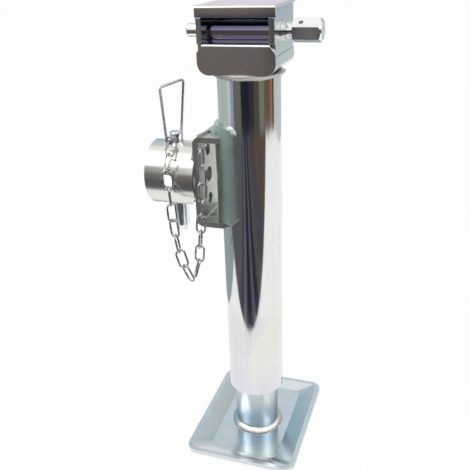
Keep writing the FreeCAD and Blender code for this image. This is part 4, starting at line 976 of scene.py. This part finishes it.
class PROPSTAND_OT_stage(bpy.types.Operator):
    """Floor, backdrop, lamps and camera"""

    bl_idname = "propstand.stage"
    bl_label = "Stage"

    def execute(self, context):
        scene = context.scene
        stage = scene.stand_stage
        scene.view_settings.view_transform = "Standard"
        self.floor(stage)
        self.world(scene)
        self.cards()
        self.lamps(stage)
        self.camera(scene, stage)
        return {"FINISHED"}

    def seen_directly(self, tree):
        """One where camera, gloss or glass see the surface, zero for diffuse light."""
        rays = add_node(tree, "ShaderNodeLightPath").outputs
        both = add_node(
            tree, "ShaderNodeMath",
            {0: rays["Is Camera Ray"], 1: rays["Is Glossy Ray"]}, operation="MAXIMUM",
        )
        return add_node(
            tree, "ShaderNodeMath",
            {0: both.outputs[0], 1: rays["Is Transmission Ray"]}, operation="MAXIMUM",
        ).outputs[0]

    def floor(self, stage):
        """White paper that takes the stand's shadow."""
        bm = bmesh.new()
        bmesh.ops.create_grid(bm, x_segments=1, y_segments=1, size=PAPER_REACH)
        mesh = bpy.data.meshes.new("paper_floor")
        bm.to_mesh(mesh)
        bm.free()
        floor = bpy.data.objects.new("paper_floor", mesh)
        bpy.context.collection.objects.link(floor)
        floor.location.z = -PAPER_DROP
        material = bpy.data.materials.new("white_paper")
        material.use_nodes = True
        tree = material.node_tree
        tree.nodes.clear()
        paper = add_node(
            tree, "ShaderNodeBsdfPrincipled",
            {"Base Color": stage.paper, "Roughness": 0.9, "Specular IOR Level": 0.1},
        )
        glow = add_node(tree, "ShaderNodeEmission", {"Color": (1, 1, 1, 1), "Strength": 1.0})
        share = add_node(
            tree, "ShaderNodeMath", {0: self.seen_directly(tree), 1: PAPER_GLOW},
            operation="MULTIPLY",
        )
        mixed = add_node(
            tree, "ShaderNodeMixShader",
            {0: share.outputs[0], 1: paper.outputs["BSDF"], 2: glow.outputs["Emission"]},
        )
        add_node(tree, "ShaderNodeOutputMaterial", {"Surface": mixed.outputs[0]})
        mesh.materials.append(material)

    def world(self, scene):
        """A white sky, dimmer as a light than it looks."""
        world = bpy.data.worlds.new("white_studio")
        scene.world = world
        world.use_nodes = True
        tree = world.node_tree
        tree.nodes.clear()
        strength = add_node(
            tree, "ShaderNodeMapRange",
            {"Value": self.seen_directly(tree), "To Min": SOFT_SKY, "To Max": 1.0},
        )
        sky = add_node(
            tree, "ShaderNodeBackground",
            {"Color": (1, 1, 1, 1), "Strength": strength.outputs["Result"]},
        )
        add_node(tree, "ShaderNodeOutputWorld", {"Surface": sky.outputs["Background"]})

    def cards(self):
        """The room and the floor beyond the paper, as the plating mirrors them."""
        front = math.atan2(CAMERA_PLACE[1], CAMERA_PLACE[0])
        for number, (start, end, low, high, colour) in enumerate(ROOM_BANDS):
            middle, half = math.radians((start + end) / 2), math.radians((end - start) / 2)
            item = card(f"room_{number}", colour, 2 * ROOM_RADIUS * math.sin(half), high - low)
            turn, far = front + middle, ROOM_RADIUS * math.cos(half)
            item.matrix_world = (
                Matrix.Translation((far * math.cos(turn), far * math.sin(turn), (low + high) / 2))
                @ Matrix.Rotation(turn - math.pi / 2, 4, "Z")
                @ Matrix.Rotation(math.pi / 2, 4, "X")
            )
        away = Matrix.Rotation(front + math.radians(DARK_FLOOR_BEARING) - math.pi / 2, 4, "Z")
        for number, (start, end, colour) in enumerate(DARK_FLOOR_STRIPS):
            item = card(f"dark_floor_{number}", colour, end - start, DARK_FLOOR_LENGTH)
            place = (-(start + end) / 2, DARK_FLOOR_NEAR + DARK_FLOOR_LENGTH / 2, DARK_FLOOR_HEIGHT)
            item.matrix_world = away @ Matrix.Translation(place)
        side = Matrix.Rotation(front + math.radians(GREY_FLOOR_BEARING) - math.pi / 2, 4, "Z")
        item = card("grey_floor", GREY_FLOOR_COLOUR, GREY_FLOOR_WIDTH, GREY_FLOOR_LENGTH)
        place = (0, GREY_FLOOR_NEAR + GREY_FLOOR_LENGTH / 2, GREY_FLOOR_HEIGHT)
        item.matrix_world = side @ Matrix.Translation(place)

    def lamps(self, stage):
        """Two soft square lamps from the front."""
        for name, place, power in (
            ("key_lamp", KEY_PLACE, stage.key),
            ("fill_lamp", FILL_PLACE, stage.fill),
        ):
            lamp = bpy.data.lights.new(name, "AREA")
            lamp.shape = "SQUARE"
            lamp.size = LAMP_SIZE
            lamp.energy = power
            item = bpy.data.objects.new(name, lamp)
            bpy.context.collection.objects.link(item)
            aim = Vector(LAMP_AIM) - Vector(place)
            turned = aim.to_track_quat("-Z", "Y").to_matrix().to_4x4()
            item.matrix_world = Matrix.Translation(place) @ turned

    def camera(self, scene, stage):
        """The camera, where the photograph was taken from."""
        azimuth, drop, roll = map(math.radians, (CAMERA_AZIMUTH, CAMERA_DROP, CAMERA_ROLL))
        forward = Vector((
            -math.sin(azimuth) * math.cos(drop),
            math.cos(azimuth) * math.cos(drop),
            -math.sin(drop),
        ))
        right = Vector((math.cos(azimuth), math.sin(azimuth), 0))
        up = right.cross(forward)
        across = right * math.cos(roll) + up * math.sin(roll)
        upward = up * math.cos(roll) - right * math.sin(roll)
        data = bpy.data.cameras.new("photo_camera")
        data.sensor_width = 36
        data.lens = stage.lens
        data.clip_start = 0.01
        data.clip_end = 20
        camera = bpy.data.objects.new("photo_camera", data)
        bpy.context.collection.objects.link(camera)
        turned = Matrix((across, upward, -forward)).transposed().to_4x4()
        camera.matrix_world = Matrix.Translation(Vector(CAMERA_PLACE) * MM) @ turned
        scene.camera = camera


class PROPSTAND_PT_panel(bpy.types.Panel):
    """Lists the operators that make the stand"""

    bl_idname = "PROPSTAND_PT_panel"
    bl_label = "Trailer prop stand"
    bl_space_type = "VIEW_3D"
    bl_region_type = "UI"
    bl_category = "Prop Stand"

    def draw(self, context):
        for group in ("stand_finish", "stand_sizes", "stand_stage"):
            owner = getattr(context.scene, group)
            for name in owner.__annotations__:
                self.layout.prop(owner, name)
        for maker in MAKERS:
            self.layout.operator(maker.bl_idname)


# In the order in which main calls them.
MAKERS = (
    PROPSTAND_OT_stage,
    PROPSTAND_OT_tubes,
    PROPSTAND_OT_head,
    PROPSTAND_OT_drive,
    PROPSTAND_OT_mount,
    PROPSTAND_OT_foot,
    PROPSTAND_OT_welds,
    PROPSTAND_OT_pin,
    PROPSTAND_OT_chain,
)
CLASSES = (StandFinish, StandSizes, StandStage) + MAKERS + (PROPSTAND_PT_panel,)


def register():
    for item in CLASSES:
        bpy.utils.register_class(item)
    bpy.types.Scene.stand_finish = PointerProperty(type=StandFinish)
    bpy.types.Scene.stand_sizes = PointerProperty(type=StandSizes)
    bpy.types.Scene.stand_stage = PointerProperty(type=StandStage)


def unregister():
    del bpy.types.Scene.stand_stage
    del bpy.types.Scene.stand_sizes
    del bpy.types.Scene.stand_finish
    for item in reversed(CLASSES):
        bpy.utils.unregister_class(item)


def main():
    """Makes everything."""
    register()
    for maker in MAKERS:
        group, name = maker.bl_idname.split(".")
        getattr(getattr(bpy.ops, group), name)()


if __name__ == "__main__":
    main()
